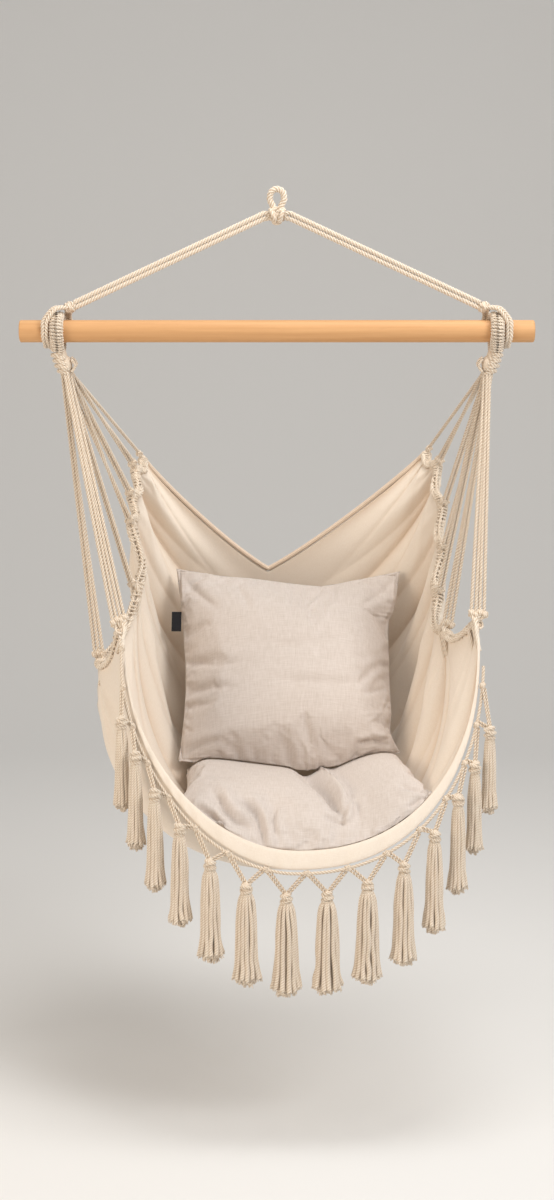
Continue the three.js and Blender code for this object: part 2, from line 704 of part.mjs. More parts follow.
// Cushions: two sewn squares, crowned in the middle, with sides drawn in between the corners.
const cushionSteps = 13
function cushionShape(a, b, width = cushionSize) {
  const draw = 1 - cornerDraw / (cushionSize / 2) * (1 - Math.abs(a * b)) * Math.max(Math.abs(a), Math.abs(b)) ** 2
  return { x: a * draw * width / 2, y: b * draw * cushionSize / 2 }
}
function crown(a, b) {
  const ease = (t) => (1 - Math.abs(t) ** 3.2) ** 0.62
  return ease(a) * ease(b)
}
function cushionGrid(point) {
  const positions = []
  const index = []
  const row = cushionSteps + 1
  const layer = row * row
  for (const face of [1, -1]) {
    for (let j = 0; j <= cushionSteps; j++) {
      for (let i = 0; i <= cushionSteps; i++) {
        const p = point(cushionShare(i), cushionShare(j), face)
        positions.push(p.x, p.y, p.z)
      }
    }
  }
  const onEdge = (k) => k % row === 0 || k % row === cushionSteps || k < row || k >= layer - row
  const under = (k) => (onEdge(k) ? k : layer + k)
  for (let j = 0; j < cushionSteps; j++) {
    for (let i = 0; i < cushionSteps; i++) {
      const a = j * row + i
      const b = a + 1
      const c = a + row + 1
      const d = a + row
      index.push(a, b, c, a, c, d)
      index.push(under(a), under(c), under(b), under(a), under(d), under(c))
    }
  }
  const geometry = new THREE.BufferGeometry()
  geometry.setAttribute('position', new THREE.Float32BufferAttribute(positions, 3))
  geometry.setIndex(index)
  return mergeVertices(geometry)
}
// Grid lines crowd towards the seams, where the crown turns fastest.
function cushionShare(i) {
  const t = -1 + 2 * i / cushionSteps
  return Math.sin(t * Math.PI / 2) * 0.6 + t * 0.4
}

// How far a shape can move along a direction before it meets another, by rays from the corners and
// the edge middles of both shapes.
function room(moving, still, direction, reach) {
  const ray = new THREE.Raycaster()
  ray.far = reach
  const measure = (from, to, way) => {
    const target = new THREE.Mesh(to, new THREE.MeshBasicMaterial({ side: THREE.DoubleSide }))
    const corner = (k) => vec(0, 0, 0).fromBufferAttribute(from.attributes.position, from.index.array[k])
    let least = reach
    for (let k = 0; k < from.index.count; k++) {
      const next = k % 3 === 2 ? k - 2 : k + 1
      for (const share of [0, 0.5]) {
        ray.set(corner(k).lerp(corner(next), share), way)
        for (const hit of ray.intersectObject(target)) least = Math.min(least, hit.distance)
      }
    }
    return least
  }
  return Math.min(measure(moving, still, direction), measure(still, moving, direction.clone().negate()))
}
function settle(shape, stills, way) {
  const least = Math.min(...stills.map((still) => room(shape, still, way, cushionSize)))
  return shape.translate(...way.clone().multiplyScalar(least - softGap).toArray())
}

// Seat cushion: lies in the pan of the cloth, between its side walls. Its underside follows the
// cloth, and its seam dips between the corners, along the front band and less at the back. A crease
// runs over its top, from the middle of the back to the right of the front, between two lobes.
// Shares of the seat's half width, reach and drop; y and z at the middle of the seam, bow and rise
// from there to its corners.
const seatCushionShare = 0.155
const frontSeamShares = { y: -0.828, bow: 0.111, low: 0.901, rise: 0.0743 }
const backSeamShares = { y: 0.344, bow: 0, low: 0.893, rise: 0.0571 }
const seamAboveShare = 0.4
const creaseShares = { back: -0.1, front: 0.36, width: 0.3, depth: 0.4 }
function seatCushion(cloth) {
  const target = new THREE.Mesh(cloth, new THREE.MeshBasicMaterial({ side: THREE.DoubleSide }))
  const meets = (from, way) => new THREE.Raycaster(from, way).intersectObject(target)[0]
  const shape = cushionGrid((a, b, face) => {
    const flat = cushionShape(a, b, seatCushionWidth)
    const back = flat.y / cushionSize + 0.5
    const blend = (name) => THREE.MathUtils.lerp(frontSeamShares[name], backSeamShares[name], back)
    const seam = seatPoint([seatCushionShare, blend('y') + blend('bow') * a ** 2,
      blend('low') - blend('rise') * a ** 2])
    const wall = meets(seam, vec(Math.sign(flat.x) || 1, 0, 0))
    const widest = wall ? wall.distance - 4 * softGap : Infinity
    seam.x += Math.sign(flat.x) * Math.min(Math.abs(flat.x), widest)
    const full = crown(a, b) * seatCushionThickness
    const creaseAt = THREE.MathUtils.lerp(creaseShares.front, creaseShares.back, back)
    const crease = 1 - creaseShares.depth * Math.exp(-(((a - creaseAt) / creaseShares.width) ** 2))
    if (face > 0 && full > 0) return seam.add(vec(0, 0, full * seamAboveShare * crease))
    const floor = meets(seam, vec(0, 0, -1))
    const below = Math.min(full * (1 - seamAboveShare), floor ? floor.distance - softGap : 0)
    return seam.add(vec(0, 0, -Math.max(below, 0)))
  })
  shape.translate(0, 0, seatCushionThickness)
  return settle(shape, [cloth], vec(0, 0, -1))
}

// Back cushion: stands on the seat cushion and leans back into the V of the cloth. Its middle as
// shares of the seat's half width, reach and drop.
const backLeanDegrees = 31
const backCushionShares = [0.066, 0.389, 0.5724]
function backCushion(cloth, below) {
  const lean = THREE.MathUtils.degToRad(backLeanDegrees)
  const upwards = vec(0, Math.sin(lean), Math.cos(lean))
  const backwards = vec(0, Math.cos(lean), -Math.sin(lean))
  const shape = cushionGrid((a, b, face) => {
    const flat = cushionShape(a, b)
    return vec(flat.x, 0, 0).addScaledVector(upwards, flat.y / cushionSize * backCushionHeight)
      .addScaledVector(backwards, -face * crown(a, b) * backCushionThickness / 2)
  })
  shape.translate(...seatPoint(backCushionShares).toArray())
  settle(shape, [cloth], backwards)
  settle(shape, [below, cloth], upwards.clone().negate())
  return { shape, upwards, backwards }
}

// Edge tab: a folded strip of ribbon caught in the left seam of the back cushion.
function edgeTab(cushion) {
  const { shape, upwards, backwards } = cushion
  shape.computeBoundingBox()
  const heightShare = 0.18
  const box = shape.boundingBox
  const middle = box.getCenter(vec(0, 0, 0))
  const seam = vec(middle.x, middle.y, middle.z).addScaledVector(upwards, heightShare * cushionSize)
  const side = new THREE.Mesh(shape, new THREE.MeshBasicMaterial({ side: THREE.DoubleSide }))
  const edges = [-1, 0, 1].map((level) => {
    const from = seam.clone().addScaledVector(upwards, level * tabLength / 2).add(vec(-cushionSize, 0, 0))
    return new THREE.Raycaster(from, vec(1, 0, 0)).intersectObject(side)[0].point.x
  })
  const edge = Math.min(...edges)
  const tab = new THREE.BoxGeometry(tabReach, tabThickness, tabLength)
  const pose = new THREE.Matrix4().makeBasis(vec(1, 0, 0), backwards, upwards)
  tab.applyMatrix4(pose)
  return tab.translate(edge - tabReach / 2 - touchGap, seam.y, seam.z)
}

// The assembly, from the eye down.
const knot = apexKnot()
piece('hanging_eye', hangingEye(knot), ropeFinish)
piece('apex_knot', geometryOf(knot), ropeFinish)
for (const [name, side] of Object.entries(sides)) {
  for (const [place, level] of Object.entries({ upper: 1, lower: -1 })) {
    const path = suspensionPath(side, level)
    piece(`suspension_cord_${name}_${place}`, cord(path, suspensionCord, suspensionCord, 10), ropeFinish)
  }
  piece(`bar_ring_${name}`, barRing(side), ropeFinish)
}
piece('spreader_bar', spreaderBar(), woodFinish)
for (const [name, side] of Object.entries(sides)) {
  piece(`sling_eye_${name}`, slingEyeCore(side), ropeFinish)
  piece(`eye_whipping_${name}`, eyeWhipping(side), ropeFinish)
  piece(`neck_knot_${name}`, neck(side), ropeFinish)
  harnessStarts.forEach((starts, k) => piece(`harness_${name}_${k + 1}`, harness(side, k), ropeFinish))
  piece(`side_rope_${name}`, cord(sideRopePath(side), sideRope, sideRope, 6), ropeFinish)
}
const cloth = canvas()
piece('sling_canvas', cloth, canvasFinish)
piece('back_hem', backHem(), canvasFinish)
piece('front_hem_band', frontBand(), canvasFinish)
piece('fringe_cord', fringeCord(), ropeFinish)
for (let i = 0; i < tasselCount; i++) {
  piece(`tassel_${String(i + 1).padStart(2, '0')}`, tassel(i), ropeFinish)
}
const lower = seatCushion(cloth)
piece('seat_cushion', lower, cushionFinish)
const upper = backCushion(cloth, lower)
piece('back_cushion', upper.shape, cushionFinish)
piece('cushion_tab', edgeTab(upper), tabFinish)

export default chair
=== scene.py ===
import math

import bpy
import numpy as np
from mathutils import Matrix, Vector
from mathutils.bvhtree import BVHTree


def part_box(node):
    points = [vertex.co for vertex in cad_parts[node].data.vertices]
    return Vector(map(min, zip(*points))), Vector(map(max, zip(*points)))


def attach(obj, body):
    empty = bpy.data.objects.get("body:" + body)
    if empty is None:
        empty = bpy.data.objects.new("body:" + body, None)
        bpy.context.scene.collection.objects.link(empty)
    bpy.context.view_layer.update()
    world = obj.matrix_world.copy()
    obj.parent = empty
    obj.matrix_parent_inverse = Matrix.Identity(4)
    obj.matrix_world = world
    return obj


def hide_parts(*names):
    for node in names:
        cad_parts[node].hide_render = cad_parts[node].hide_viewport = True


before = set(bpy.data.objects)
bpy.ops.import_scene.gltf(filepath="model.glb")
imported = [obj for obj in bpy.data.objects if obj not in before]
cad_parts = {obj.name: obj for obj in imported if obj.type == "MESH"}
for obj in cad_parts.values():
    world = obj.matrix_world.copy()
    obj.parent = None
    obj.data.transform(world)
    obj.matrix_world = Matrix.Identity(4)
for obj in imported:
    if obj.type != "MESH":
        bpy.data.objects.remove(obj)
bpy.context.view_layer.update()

# Camera: stands in front of the seat at standing height and looks a little down at it.
# Its lens and place are those of the photograph.
camera_data = bpy.data.cameras.new("camera")
camera_data.sensor_fit = "VERTICAL"
camera_data.sensor_height = 24
camera_data.lens = 36.26
camera = bpy.data.objects.new("camera", camera_data)
camera.location = (0, -3.565, -0.291)
looks_at = Vector((0, 0, -0.792))
camera.rotation_euler = (looks_at - camera.location).to_track_quat("-Z", "Y").to_euler()
bpy.context.collection.objects.link(camera)
bpy.context.scene.camera = camera

# Studio: a pale floor that curves up into a backdrop, a large soft lamp at each side and one from
# above, and an even pale sky.
bpy.context.scene.view_settings.view_transform = "Standard"
floor_z = -1.78
floor_front = -7.0
floor_back = 3.0
backdrop_curve = 2.4
backdrop_top = 3.4
curve_steps = 16
studio_half = 6.0
paint_color = (0.86, 0.855, 0.845, 1)
sky_color = (1.0, 0.97, 0.93, 1)
sky_strength = 0.4
lamps_aim = Vector((0, 0, -0.95))


def made(name, points, faces):
    """A new object of points and faces, smoothly shaded."""
    mesh = bpy.data.meshes.new(name)
    mesh.from_pydata(points, [], faces)
    mesh.polygons.foreach_set("use_smooth", [True] * len(mesh.polygons))
    piece = bpy.data.objects.new(name, mesh)
    bpy.context.collection.objects.link(piece)
    return piece


profile = [(floor_front, floor_z), (floor_back, floor_z)]
for i in range(1, curve_steps + 1):
    turn = i / curve_steps * math.pi / 2
    profile.append((floor_back + backdrop_curve * math.sin(turn),
                    floor_z + backdrop_curve * (1 - math.cos(turn))))
profile.append((floor_back + backdrop_curve, backdrop_top))
studio_points = [(x, y, z) for x in (-studio_half, studio_half) for y, z in profile]
rows = len(profile)
studio = made("studio", studio_points, [(i, rows + i, rows + i + 1, i + 1) for i in range(rows - 1)])
studio_paint = bpy.data.materials.new("studio_paint")
studio_paint.use_nodes = True
paint_shader = studio_paint.node_tree.nodes["Principled BSDF"]
paint_shader.inputs["Base Color"].default_value = paint_color
paint_shader.inputs["Roughness"].default_value = 0.9
studio.data.materials.append(studio_paint)

sky = bpy.data.worlds.new("sky")
sky.use_nodes = True
sky.node_tree.nodes["Background"].inputs["Color"].default_value = sky_color
sky.node_tree.nodes["Background"].inputs["Strength"].default_value = sky_strength
bpy.context.scene.world = sky
# Each lamp has its place, its width, its power and its tint.
lamps = {
    "key": ((2.3, -2.3, 1.3), 1.4, 68, (1.0, 0.99, 0.98)),
    "fill": ((-2.6, -2.1, -0.3), 1.6, 40, (1.0, 0.86, 0.71)),
    "top": ((0.4, -0.4, 1.9), 1.2, 40, (1.0, 0.985, 0.96)),
}
for lamp_name, (place, width, power, tint) in lamps.items():
    lamp_data = bpy.data.lights.new(lamp_name, "AREA")
    lamp_data.size = width
    lamp_data.energy = power
    lamp_data.color = tint
    lamp = bpy.data.objects.new(lamp_name, lamp_data)
    lamp.location = place
    lamp.rotation_euler = (lamps_aim - lamp.location).to_track_quat("-Z", "Y").to_euler()
    bpy.context.collection.objects.link(lamp)

# Hanging eye: a bend of thick cotton rope, laid from four strands, whose two ends go down into the
# knot under it.


class Value:
    """A socket in a material, with arithmetic that adds the nodes for it."""

    def __init__(self, look, socket):
        self.look = look
        self.socket = socket

    def maths(self, operation, *others):
        return self.look.node("ShaderNodeMath", {"operation": operation}, [self, *others])

    def __add__(self, other):
        return self.maths("ADD", other)

    def __sub__(self, other):
        return self.maths("SUBTRACT", other)

    def __mul__(self, other):
        return self.maths("MULTIPLY", other)

    def __rsub__(self, other):
        return self * -1 + other

    __radd__ = __add__
    __rmul__ = __mul__

    def clamped(self):
        return self.maths("MAXIMUM", 0).maths("MINIMUM", 1)


class Look:
    """A material whose nodes are added one by one."""

    def __init__(self, name, roughness, sheen=0.0):
        self.material = bpy.data.materials.new(name)
        self.material.use_nodes = True
        self.tree = self.material.node_tree
        self.shader = self.tree.nodes["Principled BSDF"]
        self.shader.inputs["Roughness"].default_value = roughness
        self.shader.inputs["Sheen Weight"].default_value = sheen
        self.shader.inputs["Specular IOR Level"].default_value = 0.25

    def node(self, kind, settings, sockets, out=0):
        """Adds a node and gives one of its outputs. Sockets are a list, or names or places."""
        node = self.tree.nodes.new(kind)
        for key, value in settings.items():
            setattr(node, key, value)
        for key, value in sockets.items() if isinstance(sockets, dict) else enumerate(sockets):
            if isinstance(value, Value):
                self.tree.links.new(value.socket, node.inputs[key])
            else:
                node.inputs[key].default_value = value
        return Value(self, node.outputs[out])

    def split(self, vector, count=3):
        """The x, y and z of a vector, or the first of them."""
        return [self.node("ShaderNodeSeparateXYZ", {}, [vector], i) for i in range(count)]

    def lay(self):
        """How far along and how far round a cord a point lies, in metres."""
        return self.split(self.node("ShaderNodeUVMap", {"uv_map": "lay"}, {}), 2)

    def noise(self, vector, scale, detail=2.0):
        return self.node("ShaderNodeTexNoise", {}, {"Vector": vector, "Scale": scale, "Detail": detail})

    def place(self, x=0.0, y=0.0, z=0.0):
        return self.node("ShaderNodeCombineXYZ", {}, [x, y, z])

    def everywhere(self):
        return self.node("ShaderNodeTexCoord", {}, {}, "Object")

    def mixed(self, share, first, second):
        return self.node("ShaderNodeMix", {"data_type": "RGBA"}, {0: share, 6: first, 7: second}, 2)

    def color(self, value):
        self.tree.links.new(value.socket, self.shader.inputs["Base Color"])

    def bump(self, height, distance, strength):
        sockets = {"Height": height, "Distance": distance, "Strength": strength}
        normal = self.node("ShaderNodeBump", {}, sockets, "Normal")
        self.tree.links.new(normal.socket, self.shader.inputs["Normal"])


def cotton_look():
    """Spun cotton: fine fibres that follow the strands, and painted shade in the hollows between strands and
    inside knots.
    """
    light = (0.95, 0.87, 0.755, 1)
    dark = (0.88, 0.78, 0.65, 1)
    hollow_shade = (0.54, 0.38, 0.24, 1)
    look = Look("cotton_cord", 0.95, 0.25)
    along, around = look.lay()
    fibre = look.noise(look.place(along * 220, around * 1500), 1.0, 3.0)
    mottle = look.noise(look.everywhere(), 55.0, 3.0)
    crevice = look.node("ShaderNodeAttribute", {"attribute_name": "crevice"}, {}, "Fac")
    tone = (mottle * 1.3 - 0.45 + (fibre - 0.5) * 0.9).clamped()
    # Painted shade: the colour turns to the dark hollow colour where strands meet and inside knots.
    look.color(look.mixed((crevice * 0.78).clamped(), look.mixed(tone, light, dark), hollow_shade))
    look.bump(fibre, 0.0006, 0.7)
    return look


cotton = cotton_look()


def unit(vectors):
    vectors = np.asarray(vectors, float)
    return vectors / np.linalg.norm(vectors, axis=-1, keepdims=True)


def between(a, b, c, d, t):
    """The smooth curve from b to c, with a before it and d after it."""
    return (b + (c - a) * t / 2 + (2 * a - 5 * b + 4 * c - d) * t ** 2 / 2
            + (3 * b - a - 3 * c + d) * t ** 3 / 2)


def route(points, step, closed=False):
    """A smooth path through every point, with stations evenly spaced about a step apart."""
    points = np.asarray(points, float)
    if closed:
        padded = np.vstack([points[-1], points, points[:2]])
    else:
        padded = np.vstack([2 * points[0] - points[1], points, 2 * points[-1] - points[-2]])
    fine = []
    t = np.linspace(0, 1, 24, endpoint=False)[:, None]
    for i in range(1, len(padded) - 2):
        fine.append(between(*padded[i - 1:i + 3], t))
    fine = np.vstack([*fine, padded[-2]])
    run = np.concatenate([[0], np.cumsum(np.linalg.norm(np.diff(fine, axis=0), axis=1))])
    count = max(int(round(run[-1] / step)), 3)
    stations = np.linspace(0, run[-1], count + 1)
    path = np.stack([np.interp(stations, run, fine[:, k]) for k in range(3)], axis=1)
    return path[:-1] if closed else path


class Shape:
    """The mesh of one piece, put together from tubes and solids, with the painted shade of each point."""

    def __init__(self):
        self.points, self.faces, self.lay, self.crevice = [], [], [], []
        self.count = 0

    def add(self, points, faces, lay=None, crevice=None):
        self.points.append(np.asarray(points, float))
        self.faces += [tuple(self.count + i for i in face) for face in faces]
        self.lay += lay if lay is not None else [(0.0, 0.0)] * sum(map(len, faces))
        self.crevice.append(np.zeros(len(points)) if crevice is None else np.asarray(crevice, float))
        self.count += len(points)

    def tube(self, points, stations, wide, closed=False, crevice=None):
        """Adds a tube of hoops of points. Stations tell how far along it each hoop lies, and wide is
        the width of its faces, both for its lay."""
        count, ring = points.shape[:2]
        faces, lay = [], []
        for i in range(count if closed else count - 1):
            after = (i + 1) % count
            a, b = stations[i], stations[i + 1]
            for j in range(ring):
                other = (j + 1) % ring
                faces.append((i * ring + j, i * ring + other, after * ring + other, after * ring + j))
                lay += [(a, j * wide), (a, (j + 1) * wide), (b, (j + 1) * wide), (b, j * wide)]
        if not closed:
            faces += [tuple(range(ring))[::-1], tuple((count - 1) * ring + j for j in range(ring))]
            lay += [(0.0, 0.0)] * (2 * ring)
        self.add(points.reshape(-1, 3), faces, lay, crevice)

    def object(self, name, look, body, *nodes, slot="cotton_cord"):
        """Makes the piece, which moves with a body and stands for nodes of the CAD."""
        piece = made(name, np.vstack(self.points).tolist(), self.faces)
        mesh = piece.data
        mesh.uv_layers.new(name="lay").data.foreach_set("uv", np.asarray(self.lay, float).ravel())
        # How much painted shade each point has, for its material to darken it.
        crevice = mesh.attributes.new("crevice", "FLOAT", "POINT")
        crevice.data.foreach_set("value", np.concatenate(self.crevice))
        mesh.materials.append(look.material)
        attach(piece, body)
        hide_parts(*nodes)
        return piece


def laid(shape, path, wide, thick=None, strands=3, pitch=None, side=(0.31, 0.93, 0.2), closed=False,
         samples=4, girth=None):
    """A laid cord along a path. Its strands twist round each other once in a pitch, and girth gives
    its fullness at each station."""
    thick = wide if thick is None else thick
    pitch = 3.6 * wide if pitch is None else pitch
    around = np.roll(path, -1, axis=0) - np.roll(path, 1, axis=0)
    if not closed:
        around[0] = path[1] - path[0]
        around[-1] = path[-1] - path[-2]
    tangents = unit(around)
    sides = []
    carried = np.asarray(side, float)
    for tangent in tangents:
        carried = carried - tangent * carried.dot(tangent)
        carried = carried / np.linalg.norm(carried)
        sides.append(carried)
    sides = np.array(sides)
    across = np.cross(tangents, sides)
    steps = np.linalg.norm(np.diff(path, axis=0), axis=1)
    run = np.concatenate([[0], np.cumsum(steps)])
    lobe = math.sin(math.pi / strands) / (1 + math.sin(math.pi / strands))
    angles = (np.arange(samples) / samples * 2 - 1) * math.pi / strands
    beside = (1 - lobe) * np.sin(angles)
    reach = (1 - lobe) * np.cos(angles) + np.sqrt(np.maximum(lobe ** 2 - beside ** 2, 0))
    least = 0.76
    reach = np.tile(np.maximum(reach, least), strands)
    turns = np.concatenate([angles + 2 * math.pi * k / strands for k in range(strands)])
    twist = run / pitch * 2 * math.pi
    if closed:
        total = run[-1] + np.linalg.norm(path[0] - path[-1])
        whole = max(round(total / pitch * strands), 1) / strands
        twist = run / total * whole * 2 * math.pi
        settle = math.atan2(np.dot(np.cross(sides[-1], sides[0]), tangents[0]), np.dot(sides[-1], sides[0]))
        twist = twist + settle * run / total
    girth = np.ones(len(path)) if girth is None else np.asarray(girth, float)
    angle = turns[None, :] + twist[:, None]
    points = (path[:, None, :]
              + sides[:, None, :] * (np.cos(angle) * reach * girth[:, None] * wide / 2)[..., None]
              + across[:, None, :] * (np.sin(angle) * reach * girth[:, None] * thick / 2)[..., None])
    # How far each point lies into the hollow between strands, which sets its painted shade.
    depth = np.tile((1 - reach) / (1 - least), len(path))
    stations = np.append(run, run[-1] + steps[-1])
    shape.tube(points, stations, math.pi * wide / len(reach), closed, depth)


def ball(shape, centre, size, around=14, rings=8):
    """A closed ball, squeezed to a size. It fills a knot, so it is given painted shade for the shade of its
    cords.
    """
    shade = 0.55
    points = [(0, 0, 1)]
    for i in range(1, rings):
        down = i / rings * math.pi
        for j in range(around):
            turn = 2 * math.pi * j / around
            points.append((math.sin(down) * math.cos(turn), math.sin(down) * math.sin(turn), math.cos(down)))
    points.append((0, 0, -1))
    faces = []
    for j in range(around):
        other = (j + 1) % around
        faces.append((0, 1 + j, 1 + other))
        for i in range(rings - 2):
            a = 1 + i * around
            faces.append((a + j, a + around + j, a + around + other, a + other))
        a = 1 + (rings - 2) * around
        faces.append((a + other, a + j, len(points) - 1))
    points = np.array(points) * np.asarray(size) / 2 + np.asarray(centre)
    shape.add(points, faces, crevice=[shade] * len(points))


def knot(shape, centre, size, cord, turns, axes):
    """A cord tied in a tight ball: it winds round a ring, over a filled core."""
    axes = np.asarray(axes, float)
    size = np.asarray(size, float)
    rounds, dips = turns
    t = np.linspace(0, 2 * math.pi, 40 * dips, endpoint=False)
    body = (size - cord) / 2
    swing = 0.36
    core = 0.72
    ring = (1 - swing) + swing * np.cos(dips * t)
    loop = np.stack([ring * np.cos(rounds * t) * body[0], ring * np.sin(rounds * t) * body[1],
                     np.sin(dips * t) * body[2] * 0.8], axis=1)
    path = route(loop[::4] @ axes + np.asarray(centre), cord / 2.4, closed=True)
    laid(shape, path, cord, closed=True, pitch=cord * 3)
    ball(shape, centre, size * core, 10, 6)


mm = 0.001
touch_gap = 0.3 * mm
eye_rope = 13 * mm
eye_pitch = 26 * mm
eye_hole_width = 13.5 * mm
eye_hole_height = 25 * mm
apex_z = -44 * mm
bend = (eye_hole_width + eye_rope) / 2
shoulder = (eye_hole_width - eye_hole_height) / 2 - eye_rope / 2
foot = apex_z + eye_rope / 2
waist = eye_rope / 2
eye_points = [(waist, 0, foot), (waist + eye_rope / 12, 0, -eye_hole_height - eye_rope / 6),
              (bend, 0, shoulder - eye_rope / 6)]
for i in range(9):
    turn = i / 8 * math.pi
    eye_points.append((bend * math.cos(turn), 0, -eye_hole_width / 2 + bend * math.sin(turn)))
eye_points += [(-bend, 0, shoulder - eye_rope / 6),
               (-waist - eye_rope / 12, 0, -eye_hole_height - eye_rope / 6), (-waist, 0, foot)]
hanging_rope = Shape()
laid(hanging_rope, route(eye_points, 0.9 * mm), eye_rope, strands=4, pitch=eye_pitch, side=(0, 1, 0),
     samples=5)
hanging_rope.object("eye_rope", cotton, "hanging_eye", "hanging_eye")

# Apex knot: the ropes of the eye tied round each other, with a lobe at each side where the
# suspension cords come out.
apex_cord = 9 * mm
lobe_x = 8 * mm
lobe_out = 5 * mm
lobe_depth = 15.5 * mm
lobe_height = 11.5 * mm
lobe_pitch = 22 * mm
knot_low, knot_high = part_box("apex_knot")
knot_size = (np.array(knot_high) - np.array(knot_low)) * (0.94, 1, 1)
apex_knot = Shape()
knot(apex_knot, (0, 0, apex_z), knot_size, apex_cord, (3, 4), ((0, 0, 1), (1, 0, 0), (0, 1, 0)))
for side in (-1, 1):
    wrap = []
    for turn in np.linspace(0, 2 * math.pi, 12, endpoint=False):
        wrap.append((side * (lobe_x + lobe_out * math.cos(turn)), lobe_depth * math.sin(turn),
                     apex_z + lobe_height * math.cos(turn)))
    laid(apex_knot, route(wrap, 1.5 * mm, closed=True), apex_cord, closed=True, pitch=lobe_pitch)
apex_knot.object("apex_wraps", cotton, "apex", "apex_knot")

# Suspension cords: four laid cords, two to a side, pulled straight from the apex knot to the knots
# of the bar rings. Laid strands fill less of their width than a plain tube, so they are made wider.
bar_z = -264 * mm
bar_half = 500 * mm
bar_radius = 21.5 * mm
suspension_cord = 9.4 * mm
suspension_laid = suspension_cord * 1.1
suspension_pitch = 27 * mm
ring_knot_x = bar_half - 98 * mm
ring_knot_z = bar_z + 46 * mm
ring_knot_width = 22.5 * mm
apex_half = 20 * mm
tucked_in = 6 * mm
suspension = Shape()
for side in (-1, 1):
    for level in (-1, 1):
        lead = apex_half + suspension_cord / 2
        slope = (ring_knot_z - apex_z) / (ring_knot_x - lead)
        rise = level * (suspension_cord + touch_gap) / 2 * math.hypot(1, slope)
        end = ring_knot_x - ring_knot_width / 3
        ends = [(side * (apex_half - tucked_in), 0, apex_z + rise * 0.8), (side * lead, 0, apex_z + rise),
                (side * end, 0, apex_z + slope * (end - lead) + rise)]
        path = np.vstack([route(ends[:2], 3 * mm)[:-1], route(ends[1:], 3 * mm)])
        laid(suspension, path, suspension_laid, strands=4, pitch=side * suspension_pitch)
cord_nodes = [f"suspension_cord_{name}_{level}" for name in ("left", "right") for level in ("upper", "lower")]
suspension.object("suspension_cords", cotton, "suspension", *cord_nodes)

# Bar rings: a flat pair of cords from an end knot, over the seat's eye, down the front of the bar,
# under it and up behind the eye to the knot again.
eye_x = bar_half - 74 * mm
eye_width = 25.6 * mm
whip_cord = 5.2 * mm
core_thickness = 6 * mm
eye_bend = bar_radius + 2 * touch_gap + whip_cord + core_thickness / 2
eye_outer = eye_bend + core_thickness / 2 + touch_gap + whip_cord
ring_cord = 7 * mm
ring_laid = ring_cord * 1.25
ring_pitch = 20 * mm
ring_width = 14.5 * mm
ring_knot_cord = 8.6 * mm
ring_knot_size = (ring_knot_width * 1.12, ring_knot_width * 1.12, 29 * mm)
sides = {"left": -1, "right": 1}
hug = bar_radius + ring_cord / 2 + touch_gap
clear = eye_outer + ring_cord / 2 + touch_gap * 5
out = eye_x + eye_width / 2 + ring_width / 2 + touch_gap
inner = eye_x - eye_width / 2 - ring_cord / 2
# Each station has its distance out along the bar, its radius and its turn round the bar in degrees.
stations = [
    (eye_x - eye_width / 4, clear * 1.06, 14), (eye_x + eye_width / 4, clear * 1.03, 26),
    (out + ring_cord / 6, hug * 1.26, 52), (out + ring_cord / 3, hug * 1.04, 80),
    (out + ring_cord / 3, hug * 1.04, 120), (out, hug * 1.04, 165), (out + ring_cord / 6, hug * 1.3, 205),
    (eye_x + eye_width / 3, clear * 1.14, 236), (eye_x - eye_width / 5, clear * 1.1, 258),
    (inner - ring_cord / 6, clear, 285), (inner, clear * 1.02, 315),
]
for name, side in sides.items():
    centre = np.array((side * ring_knot_x, 0, ring_knot_z))
    places = [centre]
    for x, radius, degrees in stations:
        turn = math.radians(degrees)
        places.append((side * x, -radius * math.sin(turn), bar_z + radius * math.cos(turn)))
    middle = route([*places, centre], 2 * mm)
    travel = unit(np.gradient(middle, axis=0))
    away = middle - np.array((0, 0, bar_z))
    away[:, 0] = 0
    beside = unit(np.cross(travel, unit(away)))
    ring = Shape()
    for level in (-1, 1):
        laid(ring, middle + beside * level * ring_width / 4, ring_laid, pitch=ring_pitch * level)
    knot(ring, centre, ring_knot_size, ring_knot_cord, (3, 4), ((0, 1, 0), (0, 0, 1), (1, 0, 0)))
    ring.object(f"ring_{name}", cotton, "suspension", f"bar_ring_{name}")

# Spreader bar: a turned rod of pale wood, sanded, with lightly rounded ends. It lies in the two
# rings, which grip it.
bar_round = 3 * mm
bar_sides = 72
round_steps = 6
straight_half = 450 * mm


def wood_look():
    """Pale wood with fine grain along the bar, broad bands in it and small dark pores."""
    pale = (0.71, 0.405, 0.19, 1)
    dark = (0.57, 0.29, 0.12, 1)
    pore = (0.42, 0.20, 0.08, 1)
    look = Look("bar_wood", 0.52)
    at = look.everywhere()
    x, y, z = look.split(at)
    grain = look.noise(look.place(x * 3.2, y * 150, z * 150), 1.0, 4.0)
    pores = look.noise(look.place(x * 22, y * 900, z * 900), 1.0, 2.0)
    broad = look.noise(look.place(x * 1.6, y * 26, z * 26), 1.0, 2.0)
    tone = (grain * 1.5 - 0.5 + (broad - 0.5) * 0.8).clamped()
    look.color(look.mixed((pores * 3 - 1.75).clamped() * 0.4, look.mixed(tone, pale, dark), pore))
    look.bump(grain * 0.6 + pores * 0.4, 0.0003, 0.4)
    return look


